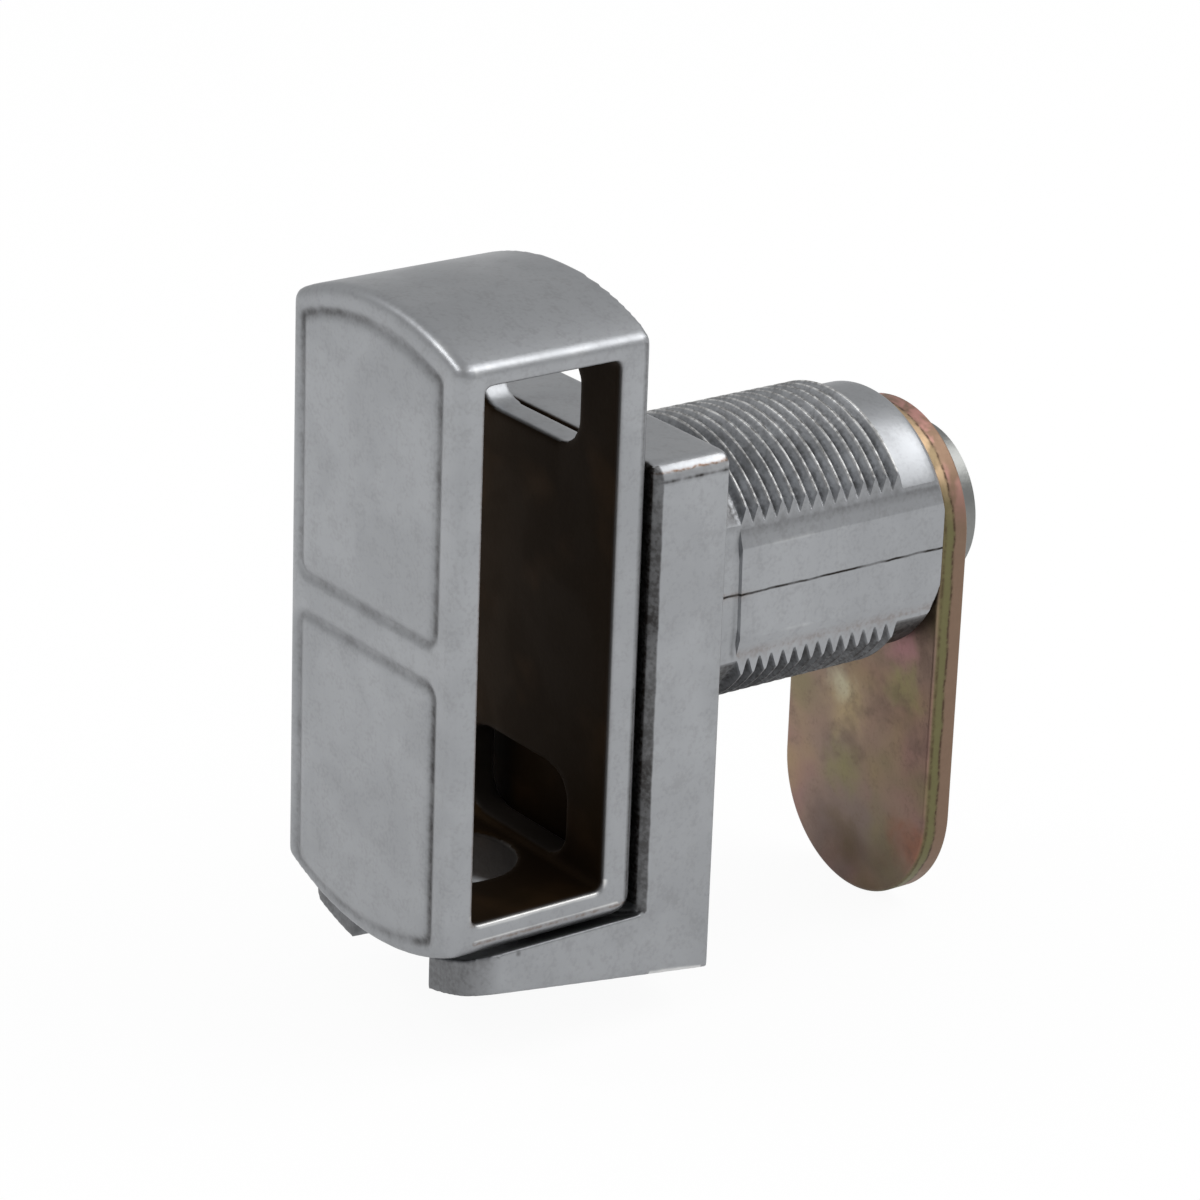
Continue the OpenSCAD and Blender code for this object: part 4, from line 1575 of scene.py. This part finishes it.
@dataclass
class CamStack:
    """Cam on the spindle's square end, with its lock washer and screw."""

    plate_finish: Material
    hardware_finish: Material
    square_half: float = 3.53
    square_r: float = 0.3
    roll_over: float = 0.35
    burr_r: float = 0.1
    washer_w: float = 2.4
    washer_r: float = 0.15
    washer_split: float = 10.0
    washer_rise: float = 0.12
    screw_r: float = 3.0
    thread_depth: float = 0.55
    thread_turns: int = 8
    thread_start: float = 0.3
    crest: Point2 = (0.44, 0.56)  # where a turn's crest starts and ends
    valley: float = 0.98  # where its valley starts
    head_side: float = 1.6
    head_r: float = 0.15
    recess_half: float = 2.6
    recess_half_w: float = 0.55
    recess_depth: float = 2.2
    recess_taper: float = 0.62

    def cam(self) -> Object:
        """Stamped bar with a drawn edge in front and a sharp one behind.

        Returns:
            The cam with its masks.
        """
        low, high = box_mm("cam")
        front, back, width = low[1], high[1], high[0] - SKIN
        tip = low[2] + SKIN + width
        levels = [(front + down, inset) for inset, down in quarter_round(self.roll_over, 6)[::-1]]
        levels += [(y, 0.0) for y in np.linspace(front + self.roll_over, back - self.burr_r, 20)[1:]]
        levels += [(back - down, inset) for inset, down in quarter_round(self.burr_r, 3)[1:]]
        steps = np.linspace(0, tip, 24)[1:-1]
        outlines = []
        for y, inset in levels:
            radius = width - inset
            outline = arc((0, 0), radius, 0, 180, 64) + [(-radius, z) for z in steps]
            outline += arc((0, tip), radius, 180, 360, 64) + [(radius, z) for z in steps[::-1]]
            outlines.append((outline, y))
        cam = stacked("cam_plate", Along.Y, outlines)
        square = centred_rect(self.square_half, self.square_half, self.square_r, 4)
        combine(cam, Cut.TAKE, prism(square, Along.Y, front - PAST, back + PAST))
        self.cam_masks(cam, front, back)
        return cam

    def cam_masks(self, cam: Object, front: float, back: float) -> None:
        """Masks of the sheared rim, of its rear band, of its top for the painted highlight, and of the dark lines
        round it.

        Args:
            cam: The cam.
            front: Place of its front face.
            back: Place of its rear face.
        """
        _, y, z = places_mm(cam).T
        rim = ramp(0.8 - np.abs(vertex_rows(cam, "normal")[:, 1]), 0.4)
        depth = (y - front) / (back - front)
        past_split = depth - (0.46 + 0.04 * uneven(z, 0.4))
        write_masks(cam, rim=rim, band=ramp(past_split, 0.05), crown=ramp(z - 1.0, 4.0),
                    grime=np.maximum(rim * ridge(past_split, 0.045) * 0.9, ridge(depth - 0.12, 0.05) * 0.6))

    def lock_washer(self) -> Object:
        """Split spring washer, its two ends a little apart along the axis.

        Returns:
            The washer.
        """
        low, high = box_mm("lock_washer")
        half_w, half_t = self.washer_w / 2, (high[1] - low[1]) / 2 - self.washer_rise / 2
        middle, mid_r = (high[1] + low[1]) / 2, high[0] - self.washer_w / 2
        section = np.array(centred_rect(half_w, half_t, self.washer_r))
        rings = []
        for share in np.linspace(0, 1, 65):
            turn = math.radians(180 + self.washer_split / 2 + share * (360 - self.washer_split))
            radius = mid_r + section[:, 0]
            y = middle + section[:, 1] + self.washer_rise * (share - 0.5)
            rings.append(np.stack([radius * math.sin(turn), y, radius * math.cos(turn)], axis=1))
        return loft("lock_washer_ring", np.stack(rings))

    def screw(self) -> Object:
        """Domed screw with a cross recess and a threaded shank.

        Returns:
            The screw.
        """
        low, high = box_mm("cam_screw")
        seat = box_mm("lock_washer")[1][1]
        head_r, side_end, end = high[0], seat + self.head_side, high[1]
        rise = end - side_end
        dome_r = (head_r * head_r + rise * rise) / (2 * rise)
        limit = math.degrees(math.asin(head_r / dome_r))
        root, full = self.screw_r - self.thread_depth, self.screw_r
        profile = [(0.05, low[1]), (full - 0.6, low[1])]
        for turn in range(self.thread_turns):
            start = low[1] + self.thread_start + turn
            profile += [(root, start), *((full, start + crest) for crest in self.crest), (root, start + self.valley)]
        profile += [(full, seat), (head_r - self.head_r, seat), (head_r, seat + self.head_r)]
        profile += [(r, y) for y, r in arc((end - dome_r, 0), dome_r, 0.6, limit, 24)][::-1]
        screw = lathed("cam_screw_domed", profile, 128)
        half, half_w = self.recess_half, self.recess_half_w
        for wide, deep in ((half, half_w), (half_w, half)):
            top = np.array(centred_rect(wide, deep, 0.3))
            combine(screw, Cut.TAKE, stacked("cutter", Along.Y, ((top * self.recess_taper, end - self.recess_depth),
                                                                 (top, end + 0.3))))
        return clean_cuts(screw)

    def build(self) -> None:
        """Makes the cam, the washer and the screw."""
        for piece, finish, slot, node in ((self.cam(), self.plate_finish, "zinc_yellow", "cam"),
                                          (self.lock_washer(), self.hardware_finish, "zinc_blue", "lock_washer"),
                                          (self.screw(), self.hardware_finish, "zinc_blue", "cam_screw")):
            shade(piece, finish)
            place(piece, "rotor", slot, node)


@dataclass(frozen=True)
class InnerParts:
    """Small pieces inside the latch, which keep their CAD shapes."""

    effects: Effects
    nylon: PlainFinish = PlainFinish("black_nylon", colour(34, 34, 36), colour(22, 22, 23), PLAIN, 0.5)
    rubber: PlainFinish = PlainFinish("black_rubber", colour(24, 24, 24), colour(14, 14, 14), PLAIN, 0.6)
    steel: PlainFinish = PlainFinish("bright_steel", colour(196, 197, 200), colour(150, 151, 154), METAL, 0.22)
    zinc: PlainFinish = PlainFinish("clear_zinc", colour(176, 180, 184), colour(140, 146, 152), METAL, 0.34)

    def build(self) -> None:
        """Gives each kept node its finish."""
        for finish, names in ((self.nylon, ("thrust_washer",)), (self.rubber, ("seal_ring",)),
                              (self.steel, ("detent_spring", "detent_ball")), (self.zinc, ("stop_washer",))):
            material = finish.material(self.effects)
            for name in names:
                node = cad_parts[name]
                node.data.materials.clear()
                node.data.materials.append(material)
                LOG.info("%s: %s", name, finish.name)


@dataclass(frozen=True)
class Softbox:
    """Soft rectangular lamp: its direction from the object, distance, size and power in watts."""

    name: str
    towards: Point3
    away: float
    size: Point2
    power: float

    def build(self) -> None:
        """Hangs the lamp so that it faces the object."""
        data = bpy.data.lights.new(self.name, "AREA")
        data.shape = "RECTANGLE"
        data.size, data.size_y = (side / METRE for side in self.size)
        data.energy = self.power
        lamp = in_scene(self.name, data)
        side = Vector(self.towards).normalized()
        lamp.location = side * self.away / METRE
        lamp.rotation_euler = side.to_track_quat("Z", "Y").to_euler()


@dataclass(frozen=True)
class Studio:
    """Pale floor, soft light and the camera at the photograph's angle."""

    azimuth: float = 53.38
    elevation: float = 21.5
    roll: float = 2.07
    distance: float = 314.0
    target: Point3 = (0.725, -3.134, -1.69)
    focal_px: float = 4659.0
    frame_px: float = 1200.0
    sensor: float = 36.0
    nearest: float = 0.01
    floor_size: float = 4000.0
    floor_tint: Tint = (0.8, 0.8, 0.8, 1.0)
    floor_roughness: float = 0.9
    floor_seen: float = 0.94
    floor_gloss: float = 0.4
    white: Tint = (1.0, 1.0, 1.0, 1.0)
    horizon: Point2 = (-0.15, 0.12)
    ceiling: float = 0.6
    plain: float = 0.9
    lamps: tuple[Softbox, ...] = (
        Softbox("ring_softbox", (0.34, 0.56, 0.76), 600, (500, 360), 1.6),
        Softbox("rim_softbox", (-0.36, -0.58, 0.70), 600, (120, 120), 0.5),
    )

    def camera(self) -> None:
        """Makes the camera and looks through it."""
        turn, rise, tilt = (math.radians(v) for v in (self.azimuth, self.elevation, self.roll))
        back = Vector((math.sin(turn) * math.cos(rise), -math.cos(turn) * math.cos(rise), math.sin(rise)))
        right = (-back).cross(Vector((0, 0, 1))).normalized()
        up = right.cross(-back)
        right, up = (right * math.cos(tilt) + up * math.sin(tilt), up * math.cos(tilt) - right * math.sin(tilt))
        data = bpy.data.cameras.new("photo_camera")
        data.sensor_width = self.sensor
        data.lens = self.focal_px / self.frame_px * self.sensor
        data.clip_start = self.nearest
        seen = in_scene("photo_camera", data)
        eye = (Vector(self.target) + back * self.distance) / METRE
        seen.matrix_world = Matrix.Translation(eye) @ Matrix((right, up, back)).transposed().to_4x4()
        bpy.context.scene.camera = seen

    def rays(self, graph: Graph) -> tuple[Socket, Socket]:
        """Masks of the rays that show the background: from the camera, and off metal or through glass."""
        path = graph.add("ShaderNodeLightPath").outputs
        return path["Is Camera Ray"], graph.maths("MAXIMUM", path["Is Glossy Ray"], path["Is Transmission Ray"])

    def world(self) -> None:
        """White surroundings for the camera, a grey ceiling and white below for gloss, and plain light."""
        world = bpy.data.worlds.new("studio")
        world.use_nodes = True
        bpy.context.scene.world = world
        graph = Graph(world.node_tree)
        camera, gloss = self.rays(graph)
        height = graph.axes(graph.add("ShaderNodeTexCoord").outputs["Generated"])["Z"]
        ceiling = graph.span(height, *self.horizon, 1.0, self.ceiling)
        glossy = graph.times(gloss, graph.maths("SUBTRACT", ceiling, self.plain))
        sky = world.node_tree.nodes["Background"]
        sky.inputs["Color"].default_value = self.white
        graph.feed(sky.inputs["Strength"], graph.maths("MAXIMUM", graph.plus(glossy, self.plain), camera))

    def floor(self) -> None:
        """Pale floor under the lowest piece."""
        low = min(box_mm(name)[0][2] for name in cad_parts)
        half = self.floor_size / 2
        corners = [(-half, -half, low), (half, -half, low), (half, half, low), (-half, half, low)]
        floor = make_object("floor", corners, [(0, 1, 2, 3)])
        material = bpy.data.materials.new("pale_floor")
        material.use_nodes = True
        nodes, graph = material.node_tree.nodes, Graph(material.node_tree)
        paint = nodes["Principled BSDF"]
        paint.inputs["Base Color"].default_value = self.floor_tint
        paint.inputs["Roughness"].default_value = self.floor_roughness
        camera, gloss = self.rays(graph)
        shown = graph.plus(graph.times(camera, self.floor_seen), graph.times(gloss, self.floor_gloss))
        both = graph.add("ShaderNodeMixShader")
        for socket, value in zip(both.inputs, (shown, paint.outputs[0], graph.add("ShaderNodeEmission").outputs[0]),
                                 strict=True):
            graph.feed(socket, value)
        graph.feed(nodes["Material Output"].inputs["Surface"], both.outputs[0])
        floor.data.materials.append(material)

    def build(self) -> None:
        """Sets up the view, the light and the floor."""
        bpy.context.scene.view_settings.view_transform = "Standard"
        self.camera()
        self.world()
        self.floor()
        for lamp in self.lamps:
            lamp.build()


def main() -> None:
    """Builds the latch around the frame."""
    logging.basicConfig(level=logging.INFO, format="%(name)s: %(message)s")
    effects = Effects.build()
    chrome = SatinChrome().material(effects)
    passivate = YellowPassivate().material(effects)
    # The blue zinc's tone is partly painted shade, darkened because the screw and washer sit behind the cam.
    blue_zinc = PlainFinish("blue_zinc", colour(134, 135, 133), colour(112, 113, 112), METAL, 0.32).material(effects)
    Studio().build()
    Handle(chrome).build()
    Housing(chrome).build()
    CamStack(passivate, blue_zinc).build()
    InnerParts(effects).build()


if __name__ == "__main__":
    main()
